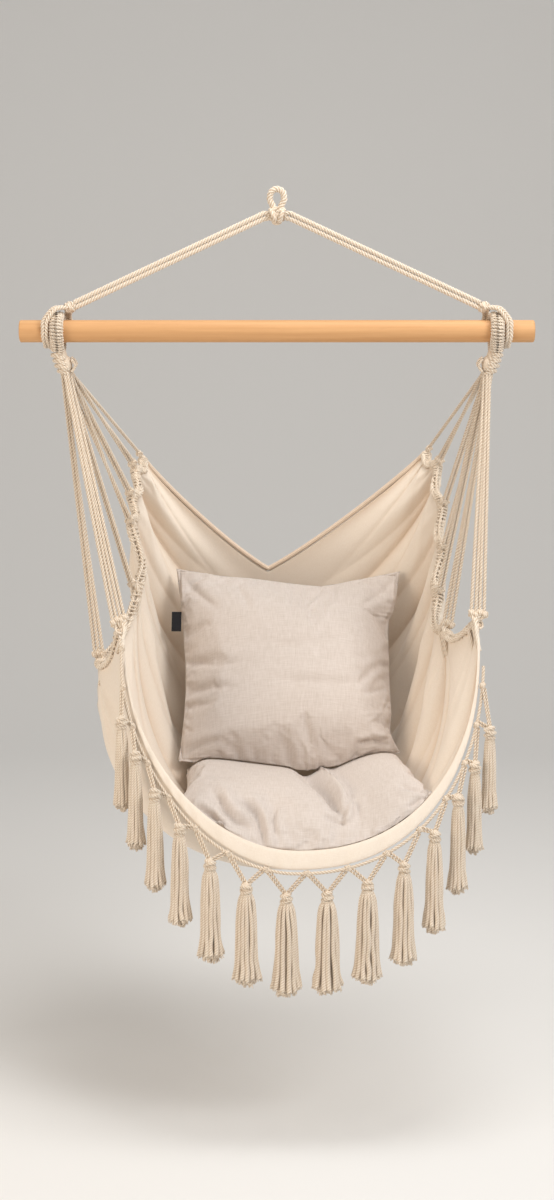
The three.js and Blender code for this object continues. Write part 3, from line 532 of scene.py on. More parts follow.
bar = Shape()
flat_end = bar_radius - bar_round
profile = []
for i in range(round_steps + 1):
    turn = i / round_steps * math.pi / 2
    profile.append((flat_end + bar_round * math.sin(turn), -bar_half + bar_round * (1 - math.cos(turn))))
profile += [(bar_radius, x) for x in np.linspace(-straight_half, straight_half, 19)]
profile += [(radius, -x) for radius, x in profile[:round_steps + 1][::-1]]
bar_points = []
for radius, x in profile:
    for j in range(bar_sides):
        turn = 2 * math.pi * j / bar_sides
        bar_points.append((x, radius * math.cos(turn), bar_z + radius * math.sin(turn)))
bar_points += [(-bar_half, 0, bar_z), (bar_half, 0, bar_z)]
bands = len(profile)
bar_faces = []
for j in range(bar_sides):
    other = (j + 1) % bar_sides
    for i in range(bands - 1):
        a, b = i * bar_sides, (i + 1) * bar_sides
        bar_faces.append((a + other, b + other, b + j, a + j))
    last = (bands - 1) * bar_sides
    bar_faces.append((len(bar_points) - 2, other, j))
    bar_faces.append((len(bar_points) - 1, last + j, last + other))
bar.add(bar_points, bar_faces)
bar.object("bar", wood_look(), "suspension", "spreader_bar", slot="bar_wood")

# Seat eyes: a flat core of harness cords over the bar, whipped from end to end with one cord laid
# tight, turn against turn.
wrap_turn = math.radians(120)
eye_leg = 28 * mm
eye_half = eye_bend * wrap_turn + eye_leg
whip_turns = 31
whip_steps = 14
whip_laid = whip_cord * 1.32
whip_pitch = 17 * mm


def eye_frame(share):
    """The middle of the core at a share of its length, and the way that faces out of the bend."""
    run = (share - 0.5) * 2 * eye_half
    on_arc = min(abs(run), eye_half - eye_leg)
    way = math.copysign(1, run)
    turn = way * on_arc / eye_bend
    out = np.array((0, math.sin(turn), math.cos(turn)))
    ahead = np.array((0, math.cos(turn), -math.sin(turn)))
    return np.array((0, 0, bar_z)) + out * eye_bend + ahead * way * (abs(run) - on_arc), out


for name, side in sides.items():
    whipped = Shape()
    core = np.array([eye_frame(share)[0] for share in np.linspace(0.01, 0.99, 60)]) + (side * eye_x, 0, 0)
    laid(whipped, core, eye_width - 2 * whip_cord, core_thickness, strands=4, pitch=1.0, side=(1, 0, 0))
    winding = []
    for i in range(whip_turns * whip_steps + 1):
        at, out = eye_frame(0.015 + 0.97 * i / (whip_turns * whip_steps))
        turn = i / whip_steps * 2 * math.pi
        flat = abs(math.cos(turn)) ** 0.7 * math.copysign(1, math.cos(turn))
        winding.append(at + (side * eye_x + (eye_width / 2 - whip_cord / 3) * flat, 0, 0)
                       + out * (core_thickness + whip_cord) / 2 * math.sin(turn))
    laid(whipped, np.array(winding), whip_laid, pitch=whip_pitch, side=(0, 0.2, 1), samples=3)
    whipped.object(f"whipped_eye_{name}", cotton, "seat", f"sling_eye_{name}", f"eye_whipping_{name}")

# Necks: the two legs of each eye are bound together in slanting wraps, square at the eye and round
# at the foot, where the harness cords come out. A short tail loop stands off on the inner side.
neck_height = 44 * mm
neck_width = 31 * mm
neck_depth = 41 * mm
neck_lean = 13 * mm
fan_radius = 21.5 * mm
neck_top = eye_frame(0)[0][2] - core_thickness / 4 - touch_gap / 2
fan_drop = neck_height - fan_radius + touch_gap
wraps = 8
wrap_cord = 8.8 * mm
wrap_pitch = 18 * mm
wrap_tilt = 0.2
first_wrap = 3 * mm
wrap_fall = fan_drop + 13 * mm
neck_core = (neck_width - 9 * mm, neck_depth - 9 * mm, 46 * mm)
neck_foot = (29 * mm, 30 * mm, 36 * mm)
tail_cord = 6 * mm
tail_pitch = 14 * mm
tail_length = 25 * mm
tail_in = 3 * mm
# Each leg of the tail loop has its bulge, its place to the back, and its top over the foot's middle.
tails = ((10 * mm, -3 * mm, 14 * mm), (8 * mm, -10 * mm, 10 * mm))


def smoothstep(x, low, high):
    """Rises softly from 0 at low to 1 at high."""
    t = np.clip((x - low) / (high - low), 0, 1)
    return t * t * (3 - 2 * t)


def fan_centre(side):
    """The middle of a neck's round foot, from which its harness cords fan out."""
    return np.array((side * (eye_x - neck_lean), 0, neck_top - fan_drop))


for name, side in sides.items():
    bound = Shape()
    centre = fan_centre(side)
    for i in range(wraps):
        share = i / (wraps - 1)
        middle = np.array((side * (eye_x - neck_lean * share), 0, neck_top - first_wrap - wrap_fall * share))
        tilt = (wrap_tilt if i % 2 else -wrap_tilt) * side
        turn = np.linspace(0, 2 * math.pi, 20, endpoint=False)
        slim = 1 - 0.26 * smoothstep(share, 0.7, 1)
        half_x = (neck_width - wrap_cord) / 2 * (1 + 0.12 * share) * slim
        half_y = (neck_depth - wrap_cord) / 2 * (1 - 0.12 * share) * slim
        loop = np.stack([half_x * np.cos(turn), half_y * np.sin(turn), half_x * tilt * np.cos(turn)], axis=1)
        laid(bound, route(middle + loop, 1.8 * mm, closed=True), wrap_cord, closed=True, pitch=wrap_pitch)
    ball(bound, (centre + np.array((side * eye_x, 0, neck_top))) / 2, neck_core)
    ball(bound, centre, neck_foot)
    for bulge, y, top in tails:
        tail = []
        for share in np.linspace(0, 1, 7):
            out = neck_width / 2 - tail_in + bulge * math.sin(share * math.pi)
            tail.append((centre[0] - side * out, y, centre[2] + top - tail_length * share))
        laid(bound, route(tail, 1.6 * mm), tail_cord, pitch=tail_pitch)
    bound.object(f"neck_{name}", cotton, "seat", f"neck_knot_{name}")

# Seat cloth: one piece of unbleached canvas. Seven ribs cross it, one at each pair of harness knots.
# Each drops from its left edge to its lowest point and climbs to its right edge, and the cloth
# bellies inwards between the knots and gathers in small folds at each of them.
seat_half = 350 * mm
seat_reach = 360 * mm
seat_drop = 1050 * mm
fold_depth = 19 * mm
edge_sag = 14 * mm
rib_left = [(-0.814, 0.767, 0.252), (-0.849, 0.664, 0.271), (-0.857, 0.522, 0.323), (-0.849, 0.372, 0.371),
            (-0.806, 0.156, 0.485), (-0.997, -0.094, 0.613), (-0.849, -0.394, 0.535)]
rib_low = [(-0.054, 0.85, 0.485), (-0.04, 0.878, 0.643), (-0.023, 0.733, 0.792), (0, 0.428, 0.911),
           (0.043, 0.011, 0.978), (0.075, -0.444, 0.98), (0.1, -0.872, 0.908)]
rib_right = [(0.903, 0.767, 0.242), (0.96, 0.664, 0.263), (0.98, 0.497, 0.338), (0.969, 0.328, 0.42),
             (0.926, 0.142, 0.499), (0.951, -0.094, 0.558), (1.1, -0.394, 0.525)]
rib_full = [(1.13, 1.1), (1.4, 1.36), (1.75, 1.7), (2, 1.95), (2.15, 2.1), (2.2, 2.2), (1.9, 2.3)]
hem_shares = [(-0.847, -0.417, 0.547), (0.095, -0.903, 0.937), (1.106, -0.417, 0.538)]
hem_full = (1.88, 2.3)
gap_folds = (0.8, 1, 1, 1.1, 0.9, 0.7)
gaps = len(rib_full) - 1
knot_ripple = 3.4 * mm
main_crease = 27 * mm
front_crease = 16 * mm
side_creases = ((-1, 12 * mm), (1, 10 * mm))
long_fold = 1.6 * mm


def seat_places(shares):
    """Places from shares of the seat's half width, of its reach and of its drop under the bar."""
    x, y, z = np.moveaxis(np.asarray(shares, float), -1, 0)
    return np.stack([x * seat_half, y * seat_reach, bar_z - z * seat_drop], -1)


def along_rows(rows, at):
    """A smooth line through rows, read at shares of its length."""
    rows = np.asarray(rows, float)
    padded = np.concatenate([2 * rows[:1] - rows[1:2], rows, 2 * rows[-1:] - rows[-2:-1]])
    place = np.clip(at, 0, 1) * (len(rows) - 1)
    i = np.minimum(place.astype(int), len(rows) - 2)
    t = (place - i).reshape(i.shape + (1,) * (rows.ndim - 1))
    return between(*(padded[i + k] for k in range(4)), t)


def on_rib(left, low, right, full, across):
    """Places on a rib that drops from its left end to its lowest point and climbs to its right end."""
    edge = np.where((across < 0)[..., None], left, right)
    power = 2 / np.where(across < 0, full[..., 0], full[..., 1])
    turn = np.minimum(np.abs(across), 1) * math.pi / 2
    out = (np.sin(turn) ** power)[..., None]
    up = (1 - np.clip(np.cos(turn), 0, 1) ** power)[..., None]
    share = np.concatenate([out, up, up], axis=-1)
    return low + (edge - low) * share


def plain_seat(across, along):
    """The cloth without its folds. Across goes from -1 to 1, and along from the back, 0, to 1."""
    at = np.clip(along, 0, 1)
    return on_rib(along_rows(seat_places(rib_left), at), along_rows(seat_places(rib_low), at),
                  along_rows(seat_places(rib_right), at), along_rows(rib_full, at), np.clip(across, -1, 1))


def seat_normal(across, along):
    step = 0.01
    u = plain_seat(across + step, along) - plain_seat(across - step, along)
    v = plain_seat(across, along + step) - plain_seat(across, along - step)
    return unit(np.cross(v, u))


def seat(across, along):
    """The cloth with the soft folds between its harness knots, and the sag of its edge."""
    across, along = np.broadcast_arrays(np.asarray(across, float), np.asarray(along, float))
    at = np.clip(along, 0, 1)
    gap = np.minimum((at * gaps).astype(int), gaps - 1)
    wave = (1 - np.cos((at * gaps - gap) * 2 * math.pi)) / 2
    reach = smoothstep(np.abs(across), 0.34, 0.74)
    sag = smoothstep(np.abs(across), 0.8, 1)
    depth = np.asarray(gap_folds)[gap] * fold_depth * wave * reach * (1 - sag / 2)
    place = plain_seat(across, at) + seat_normal(across, at) * depth[..., None]
    place[..., 2] -= edge_sag * wave * sag
    return place


def gathers(across, along):
    """Small folds that leave each harness knot, and long soft ones down the cloth, with the painted shade of
    their creases.
    """
    edge = 1 - np.abs(across)
    height = np.zeros_like(across)
    # The shade that is painted into the colour of each point, from the creases that cross it.
    shade = np.zeros_like(across)
    for k in range(gaps + 1):
        off = along - k / gaps
        ripple = off / (0.0085 + 0.13 * edge)
        height += (knot_ripple * np.exp(-(ripple / 2.2) ** 2) * np.cos(2 * math.pi * ripple * 0.8)
                   * np.exp(-(edge / 0.30) ** 2))
        drift = 0.012 * math.sin(2.3 * k + 1) * edge
        crease = np.exp(-np.abs(off - drift) / (0.007 + 0.042 * edge))
        crease = crease * np.exp(-(edge / 0.75) ** 2)
        height -= (main_crease if k < gaps - 1 else front_crease) * crease * smoothstep(edge, 0, 0.3)
        shade += 0.9 * crease ** 2
        for way, depth in side_creases:
            lean = way * (0.012 + 0.11 * edge + 0.02 * math.sin(5.1 * k + way))
            crease = np.exp(-np.abs(off - lean) / (0.004 + 0.03 * edge))
            crease = crease * np.exp(-(edge / 0.5) ** 2) * smoothstep(edge, 0, 0.16)
            height -= depth * crease
            shade += 0.6 * crease ** 2
    soft = np.sin(along * 31 + 2.1 * across + 0.6) + 0.7 * np.sin(along * 47 - 3.3 * across + 2.0)
    height += long_fold * soft * smoothstep(edge, 0.02, 0.2) * (1 - 0.5 * smoothstep(edge, 0.5, 0.9))
    height *= smoothstep(along, 0, 0.06) * smoothstep(1 - along, 0, 0.04)
    return height, np.clip(shade, 0, 1)


def canvas_look():
    """Unbleached canvas: threads both ways, soft clouds of tone, darker flecks, and painted warm shade in the
    creases.
    """
    pale = (0.88, 0.79, 0.69, 1)
    dark = (0.81, 0.70, 0.58, 1)
    crease_shade = (0.62, 0.41, 0.245, 1)
    speck = (0.60, 0.44, 0.29, 1)
    look = Look("canvas", 0.9, 0.2)
    along, around = look.lay()
    weave_a = look.noise(look.place(along * 900, around * 120), 1.0, 2.0)
    weave_b = look.noise(look.place(along * 120, around * 900), 1.0, 2.0)
    fleck = look.noise(look.everywhere(), 260.0, 3.0)
    cloud = look.noise(look.everywhere(), 9.0, 2.0)
    tone = ((weave_a + weave_b - 1.0) * 1.1 + (cloud - 0.5) * 0.5 + 0.42).clamped()
    shade = look.node("ShaderNodeAttribute", {"attribute_name": "crevice"}, {}, "Fac")
    # Painted shade: the creases turn towards a warm shade colour.
    base = look.mixed((shade * 0.85).clamped(), look.mixed(tone, pale, dark), crease_shade)
    look.color(look.mixed((fleck * 4 - 2.75).clamped() * 0.35, base, speck))
    look.bump(weave_a + weave_b, 0.0005, 0.5)
    return look


canvas = canvas_look()
cloth_across = 232
cloth_along = 200
flat_width = 1270 * mm
flat_length = 1030 * mm
canvas_thickness = 2.4 * mm
across, along = np.meshgrid(np.linspace(-1, 1, cloth_across + 1), np.linspace(0, 1, cloth_along + 1))
gathered, fold_shade = gathers(across, along)
cloth_middle = seat(across, along) + seat_normal(across, along) * gathered[..., None]
normal = unit(np.cross(np.gradient(cloth_middle, axis=0), np.gradient(cloth_middle, axis=1)))
cloth = Shape()
row = cloth_across + 1
layer = row * (cloth_along + 1)
cloth_faces, cloth_lay = [], []


def cloth_place(index):
    j, i = divmod(index % layer, row)
    return (i / cloth_across * flat_width, j / cloth_along * flat_length)


def cloth_face(*corners):
    cloth_faces.append(corners)
    cloth_lay.extend(cloth_place(k) for k in corners)


for j in range(cloth_along):
    for i in range(cloth_across):
        k = j * row + i
        cloth_face(k, k + row, k + row + 1, k + 1)
        cloth_face(layer + k, layer + k + 1, layer + k + row + 1, layer + k + row)
    left = j * row
    right = left + cloth_across
    cloth_face(left, layer + left, layer + left + row, left + row)
    cloth_face(right, right + row, layer + right + row, layer + right)
for i in range(cloth_across):
    front = cloth_along * row + i
    cloth_face(i, i + 1, layer + i + 1, layer + i)
    cloth_face(front, layer + front, layer + front + 1, front + 1)
both = [(cloth_middle + way * normal * canvas_thickness / 2).reshape(-1, 3) for way in (1, -1)]
# Painted shade in the creases, on the inner layer of the cloth only.
shades = np.concatenate([fold_shade.ravel(), np.zeros(layer)])
cloth.add(np.vstack(both), cloth_faces, cloth_lay, shades)
sling = cloth.object("sling", canvas, "seat", "sling_canvas", slot="canvas")

# Side ropes: one laid cord in each side edge of the cloth, through all seven harness knots. The edge
# is gathered over it in two thick folds, inside and outside, and whipped with an uneven cord.
side_rope = 7 * mm
side_pitch = 22 * mm
edge_fold = 14 * mm
edge_fold_depth = 10.5 * mm
edge_fold_pitch = 40 * mm
edge_fold_in = 5 * mm
edge_fold_lift = 5.5 * mm
lumps = 110
lump_girths = (0.72, 1.28)
edge_turns = 96
edge_steps = 6
stitch_shares = (0.35, 1.65)
slack = 0.12
slack_count = 90
edge_pitch = 12 * mm
edge_in = 3 * mm
edge_across = 9.2 * mm
edge_lift = 10 * mm


def square_to(direction, line):
    """The part of a direction that is square to a line."""
    line = unit(line)
    return unit(direction - line * np.sum(direction * line, axis=-1, keepdims=True))


def edge_line(across, along):
    """The way that the cloth's edge runs."""
    step = 0.5 / 24
    return seat(across, along + step) - seat(across, along - step)


def outward(across, along):
    """The way that leaves the cloth at its edge, in its own surface."""
    return square_to(seat(across, along) - seat(np.asarray(across) * 0.97, along), edge_line(across, along))


stitch_chance = np.random.default_rng(11)
for name, side in sides.items():
    along = np.linspace(0, 1, 49)
    across = np.full_like(along, side)
    path = seat(across, along) + outward(across, along) * (side_rope / 2 + touch_gap * 2)
    edge_rope = Shape()
    laid(edge_rope, route(path, 2 * mm), side_rope, pitch=side_pitch * side)
    along = np.linspace(0.004, 0.996, 97)
    across = np.full_like(along, side)
    inwards = -outward(across, along)
    face = seat_normal(across * 0.99, along)
    tight = 0.52 + 0.48 * (0.5 + 0.5 * np.cos(along * gaps * 2 * math.pi))
    for way in (1, -1):
        fold = route(seat(across, along) + inwards * edge_fold_in + face * way * edge_fold_lift, 2.6 * mm)
        share = np.linspace(0, 1, len(fold))
        lump = np.interp(share, np.linspace(0, 1, lumps), stitch_chance.uniform(*lump_girths, lumps))
        girth = np.interp(share, np.linspace(0, 1, len(tight)), tight) * lump
        laid(edge_rope, fold, edge_fold, edge_fold_depth, strands=5, pitch=edge_fold_pitch * way, girth=girth,
             side=(0, 1, 0))
    stitches = np.concatenate([[0], np.cumsum(stitch_chance.uniform(*stitch_shares, edge_turns))])
    count = edge_turns * edge_steps + 1
    at = np.interp(np.arange(count) / edge_steps, np.arange(edge_turns + 1),
                   0.002 + 0.996 * stitches / stitches[-1])
    turn = np.linspace(0, edge_turns * 2 * math.pi, count)
    across = np.full_like(at, side)
    uneven = np.interp(at, np.linspace(0, 1, slack_count), stitch_chance.uniform(-slack, slack, slack_count))
    tight = 0.86 + 0.2 * np.cos(at * gaps * 2 * math.pi) + uneven
    inset = edge_in + edge_across * tight * np.cos(turn)
    lift = edge_lift * tight * np.sin(turn)
    whip = (seat(across, at) - outward(across, at) * inset[:, None]
            + seat_normal(across * 0.99, at) * lift[:, None])
    laid(edge_rope, route(whip, 2.4 * mm), whip_cord, pitch=edge_pitch, samples=3)
    edge_rope.object(f"edge_rope_{name}", cotton, "seat", f"side_rope_{name}")

# Harness: cords fan out from the foot of each neck to seven knots on the cloth's side rope. Each row
# is a knot, from the back corner to the front: where its cords start, in fan steps inwards and back.
harness_cord = 6.2 * mm
harness_laid = harness_cord * 1.3
harness_pitch = 20 * mm
harness_knot = 15 * mm
harness_knot_size = np.array((1.15, 1.15, 1.25)) * harness_knot
harness_knot_cord = 6.4 * mm
tuft_width = 12 * mm
tuft_depth = 9 * mm
tuft_pitch = 34 * mm
tuft_steps = ((0.004, 6 * mm), (0.03, 4 * mm), (0.06, -3 * mm))
tuft_spread = 0.016
knot_stagger = 4 * mm
inside_neck = 7 * mm
inside_knot = 5 * mm
fan_step = math.radians(20)
harness_starts = [
    [(0.75, 2.5)],
    [(1.75, 1.5), (-0.25, 2.5)],
    [(-0.25, 1.5), (0.75, 1.5)],
    [(1.75, 0.5), (-1.2, 1.42)],
    [(-0.25, 0.5), (0.75, 0.5)],
    [(-1.25, -0.5), (-0.25, -0.5), (-1.25, 0.42)],
    [(-0.25, -1.5), (0.75, -1.5), (0.75, -0.5), (1.75, -0.5)],
]


def harness_place(side, k):
    """The middle of a harness knot, and the way to the foot of the neck, square to the edge."""
    along = np.array(k / gaps)
    across = np.array(float(side))
    edge = seat(across, along)
    rope = edge + outward(across, along) * (side_rope / 2 + touch_gap * 2)
    pull = square_to(fan_centre(side) - edge, edge_line(across, along))
    return rope + pull * (side_rope + harness_knot) / 2, pull


for name, side in sides.items():
    for k, starts in enumerate(harness_starts):
        fan = Shape()
        place, pull = harness_place(side, k)
        beside = square_to(np.array((1.0, 0, 0)), pull)
        for j, (inwards, back) in enumerate(starts):
            level = math.cos(inwards * fan_step)
            spread = j - (len(starts) - 1) / 2
            knot_at = place + (beside * spread * harness_laid * -side + pull * (j % 2) * knot_stagger)
            way = np.array((-side * math.sin(inwards * fan_step), math.sin(back * fan_step) * level,
                            -math.cos(back * fan_step) * level))
            start = fan_centre(side) + way * (fan_radius - inside_neck)
            end = knot_at + pull * inside_knot
            laid(fan, route([start, (start + end) / 2, end], 2.6 * mm), harness_laid, pitch=harness_pitch)
            gather_at = np.clip(k / gaps + spread * tuft_spread, 0, 1)
            tuft = [knot_at - pull * 3 * mm]
            for depth, lift in tuft_steps:
                at_edge = np.array(side * (1 - depth))
                tuft.append(seat(at_edge, gather_at) + seat_normal(at_edge, gather_at) * lift)
            tuft = route(tuft, 2.4 * mm)
            girth = np.linspace(1, 0.7, len(tuft))
            laid(fan, tuft, tuft_width, tuft_depth, strands=4, pitch=tuft_pitch, girth=girth)
            knot(fan, knot_at, harness_knot_size, harness_knot_cord, (2, 3),
                 (beside, np.cross(beside, pull), pull))
        fan.object(f"fan_{name}_{k + 1}", cotton, "seat", f"harness_{name}_{k + 1}")

# Back hem: the back edge of the cloth, rolled tight along its V and sewn down. The layers of the
# roll show as fine ridges along it.
hem_roll = 11 * mm
hem_layers = 8
hem_end = 0.985
across = np.linspace(-hem_end, hem_end, 121)
zero = np.zeros_like(across)
line = seat(across + 0.02, zero) - seat(across - 0.02, zero)
out = square_to(seat(across, zero) - seat(across, zero + 0.02), line)
path = seat(across, zero) + out * (hem_roll / 2 + touch_gap)
back_roll = Shape()
laid(back_roll, route(path, 3 * mm), hem_roll, strands=hem_layers, pitch=4.0, samples=2)
back_roll_piece = back_roll.object("back_roll", canvas, "seat", "back_hem", slot="canvas")

# Front band: the folded front edge of the cloth, turned down in front of the seat. It puckers a
# little along its lower stitching, and the fringe cord is hitched to that edge.
band_thickness = 4 * mm
band_pucker = 0.9 * mm
band_lay = 7 * mm
band_lay_round = 6 * mm
# Each corner of the band's section has its share of the way down, and its side, 1 at the front.
band_section = [(0, 1), (0.25, 1.12), (0.5, 1.2), (0.75, 1.15), (0.93, 1.0), (1.03, 0.4), (1.03, -0.4),
                (0.93, -1), (0.5, -1), (0, -1), (-0.05, -0.4), (-0.05, 0.4)]


def hem_point(across):
    """The lower edge of the band."""
    left, low, right = seat_places(hem_shares)
    return on_rib(left, low, right, np.broadcast_to(np.array(hem_full), across.shape + (2,)), across)


def band_frame(across):
    """The band's top and foot, the way down it and the way that its front faces."""
    top = seat(across, np.ones_like(across))
    foot = hem_point(across)
    line = unit(hem_point(across + 0.01) - hem_point(across - 0.01))
    down = square_to(foot - top, line)
    face = unit(np.cross(down, line))
    face = np.where((face[..., 1] > 0)[..., None], -face, face)
    return top, foot, down, face


across = np.linspace(-hem_end, hem_end, 181)
top, foot, down, face = band_frame(across)
top = top + face * (band_thickness / 2 + canvas_thickness / 2 + touch_gap * 2)
foot = foot + face * band_thickness / 2
waves = np.sin(across * 71 + 2 * np.sin(across * 13)) + 0.7 * np.sin(across * 113 + 1)
pucker = waves[:, None] * band_pucker
corners = []
for share, out in band_section:
    swell = pucker * smoothstep(share, 0, 0.9) * (out > 0)
    corners.append(top + (foot - top) * share + face * (band_thickness / 2 * out + swell))
band = Shape()
band.tube(np.stack(corners, axis=1), np.arange(len(across)) * band_lay, band_lay_round)
band_piece = band.object("front_band", canvas, "seat", "front_hem_band", slot="canvas")

# Fringe cord: laced along the lower edge of the band, with a hitch wherever the legs of tassels hang
# and one more at its left end. It stops a little short of the band's right end.
hem_cord = 7 * mm
hem_pitch = 20 * mm
hitch_length = 20 * mm
hitch_diameter = 13 * mm
hitch_cord = 4.8 * mm
hitch_size = (hitch_length * 0.8, hitch_diameter * 1.15, hitch_diameter * 1.15)
tassel_count = 14
first_knot_share = 0.016
last_knot_share = 0.927
across = np.linspace(-1, 1, 121) * hem_end
foot, down, face = band_frame(across)[1:]
lacing_drop = (band_thickness / 2 + hitch_diameter) / 2 + touch_gap * 2
hem_path = route(foot + down * lacing_drop + face * band_thickness / 2, 1 * mm)
hem_run = np.concatenate([[0], np.cumsum(np.linalg.norm(np.diff(hem_path, axis=0), axis=1))])


def on_hem(share):
    """A place on the fringe cord's line, at a share of its length."""
    return np.array([np.interp(share * hem_run[-1], hem_run, hem_path[:, k]) for k in range(3)])


knot_step = (last_knot_share - first_knot_share) / (tassel_count + 1)
knot_shares = [first_knot_share + knot_step * i for i in range(tassel_count + 2)]
hem_knots = [on_hem(share) for share in knot_shares]
lacing = Shape()
reach = int(len(hem_path) * (last_knot_share + knot_step / 2))
laid(lacing, hem_path[:reach:2], hem_cord, pitch=hem_pitch)
for share, place in zip(knot_shares, hem_knots):
    line = unit(on_hem(share + 0.004) - on_hem(share - 0.004))
    forward = square_to(np.array((0, -1.0, 0)), line)
    knot(lacing, place, hitch_size, hitch_cord, (2, 3), (line, forward, np.cross(line, forward)))
lacing_piece = lacing.object("fringe_lacing", cotton, "seat", "fringe_cord")

# Tassels: two doubled legs from neighbouring hitches meet at a tied head, under it a binding, and
# then a skirt of laid strands that flares to an uneven foot.
leg_cord = 4.8 * mm
leg_laid = leg_cord * 1.2
leg_pitch = 13 * mm
leg_apart = leg_cord * 0.58
inside_hitch = 3 * mm
leg_drop = 45 * mm
stand_off = 25 * mm
tassel_length = 192 * mm
head_size = 23 * mm
head_core = (17 * mm, 17 * mm, 28 * mm)
head_core_drop = 11 * mm
head_cord = 7.6 * mm
head_pitch = 15 * mm
first_head_wrap = 3 * mm
head_wrap_step = 5.2 * mm
# Each wrap of the head has its width as a share of the head's, and its slant.
head_wraps = ((0.62, 0.30), (0.8, -0.34), (0.84, 0.34), (0.7, -0.22))
skirt_size = 56 * mm
drop_shares = [0.34, 0.2, 0.26, 0.36, 0.68, 0.84, 0.9, 0.86, 0.8, 0.82, 0.62, 0.5, 0.68, 0.8]
stand_shares = [0.9, 0.88, 0.84, 0.78, 0.76, 0.5, 0.12, 0.15, 0.36, 0.5, 0.6, 0.66, 0.7, 1.3]
length_shares = [0.92, 0.96, 1, 1, 1, 1, 1, 1, 1, 1, 1, 0.97, 0.9, 0.85]
skirt_depths = [0.09, 0.12, 0.2, 0.4, 0.6, 0.78, 0.9, 1.0]
skirt_radii = [0.36, 0.48, 0.66, 0.76, 0.79, 0.83, 0.93, 1.07]
wrap_inset = 7 * mm
# Each ring of strands has its count, its share of the skirt's radius, the strands' width and the
# share of the tassel's length that they hang.
skirt_rings = ((13, 1.0, 9.6 * mm, 0.94), (9, 0.62, 9.0 * mm, 0.985), (4, 0.26, 8.4 * mm, 1.0))
strand_pitch = 15 * mm
strand_off = 0.16
strand_sway = 0.05
foot_range = (-0.02, 0.015)
least_radius = 0.3 * mm
frays = 7
fray_width = 2.4 * mm
fray_places = (0.12, 0.52)
fray_lengths = (2.0, 4.5)
chance = np.random.default_rng(7)


def strand_girth(depth):
    """A strand's fullness: slim under the head, and a little wider again at its tip."""
    return 0.62 + 0.38 * min(depth / 0.3, 1) + 0.16 * max(depth - 0.85, 0) / 0.15


strand_girths = [strand_girth(depth) for depth in skirt_depths]
for i in range(tassel_count):
    start, end = hem_knots[i + 1:i + 3]
    chord = unit(end - start)
    flat = unit(np.array((chord[0], chord[1], 0)))
    out = unit(np.cross(flat, (0, 0, 1)) + np.array((0, -1, 0)))
    steepness = abs(chord[2])
    middle = (start + end) / 2
    place = middle + out * stand_off * stand_shares[i] - np.array((0, 0, leg_drop * drop_shares[i]))
    hang = square_to(place - middle, chord)
    widest = skirt_size / 2 * (1 - 0.5 * steepness ** 2)
    long = tassel_length * length_shares[i]
    hung = Shape()
    for hitch, way in ((start, 1), (end, -1)):
        beside = unit(np.cross(unit(place - hitch), out))
        for level in (-1, 1):
            shift = beside * level * leg_apart
            top = hitch + hang * (hitch_diameter / 2 - inside_hitch) + chord * way * leg_cord + shift
            foot = place + np.array((0, 0, -head_size / 8)) + shift * 0.8
            leg = route([top, (top + foot) / 2, foot], 1.8 * mm)
            laid(hung, leg, leg_laid, strands=2, pitch=leg_pitch, samples=5)
    turn = np.linspace(0, 2 * math.pi, 16, endpoint=False)
    for k, (wide, slant) in enumerate(head_wraps):
        radius = wide * (head_size - wrap_inset) / 1.5
        loop = np.stack([np.cos(turn), np.sin(turn), slant * np.cos(turn + i)], axis=1) * radius
        loop += place - (0, 0, first_head_wrap + head_wrap_step * k)
        laid(hung, route(loop, 1.8 * mm, closed=True), head_cord, closed=True, pitch=head_pitch)
    ball(hung, place - (0, 0, head_core_drop), head_core, 12, 8)
    for strands, inset, strand_cord, hangs in skirt_rings:
        strand = strand_cord * (1 - 0.25 * steepness ** 2)
        for j in range(strands):
            turn = 2 * math.pi * (j + 0.5 * (inset < 1) + chance.uniform(-strand_off, strand_off)) / strands
            sway = chance.uniform(-strand_sway, strand_sway, len(skirt_depths) - 2)
            low = chance.uniform(*foot_range)
            points = []
            for depth, share, stray in zip(skirt_depths, skirt_radii, [0, 0, *sway]):
                radius = max(share * widest * inset * (1 + stray) - strand * 0.42, least_radius)
                at = turn + stray * 1.6
                drop = depth * (hangs + low * depth) * long
                points.append(place + (radius * math.cos(at), radius * math.sin(at), -drop))
            path = route(points, 2.6 * mm)
            depths = np.linspace(0, 1, len(skirt_depths))
            girth = np.interp(np.linspace(0, 1, len(path)), depths, strand_girths)
            laid(hung, path, strand, pitch=strand_pitch, samples=3, girth=girth)
            tip, ahead = path[-1], unit(path[-1] - path[-3])
            for _ in range(frays):
                at = chance.uniform(0, 2 * math.pi)
                away = np.array((math.cos(at), math.sin(at), 0)) * strand * chance.uniform(*fray_places)
                length = chance.uniform(*fray_lengths) * mm
                fibre = np.array([tip - ahead * 2 * mm + away * 0.8, tip + ahead * length * 0.5 + away,
                                  tip + ahead * length + away * 1.2])
                laid(hung, fibre, fray_width, strands=2, pitch=1.0, samples=2)
    number = f"{i + 1:02d}"
    hung.object(f"fringe_tassel_{number}", cotton, f"tassel_{number}", f"tassel_{number}")

# Seat cushion: a cover of heathered linen, two panels sewn round their edge, with soft filling. It
# lies in the pan of the cloth and folds along a valley from its back to the right of its front.
panel_steps = 72
seam_fold = 1.1 * mm
seam_turn = 6 * mm
swell_limit = 14 * mm
swell_frames = 14
swell_pressure = 4
cover_shrink = -0.035
cushion_gap = 1.5 * mm
cushion_half = 230 * mm
seam_pucker = 1.1 * mm
photo_width = 554
photo_height = 1200


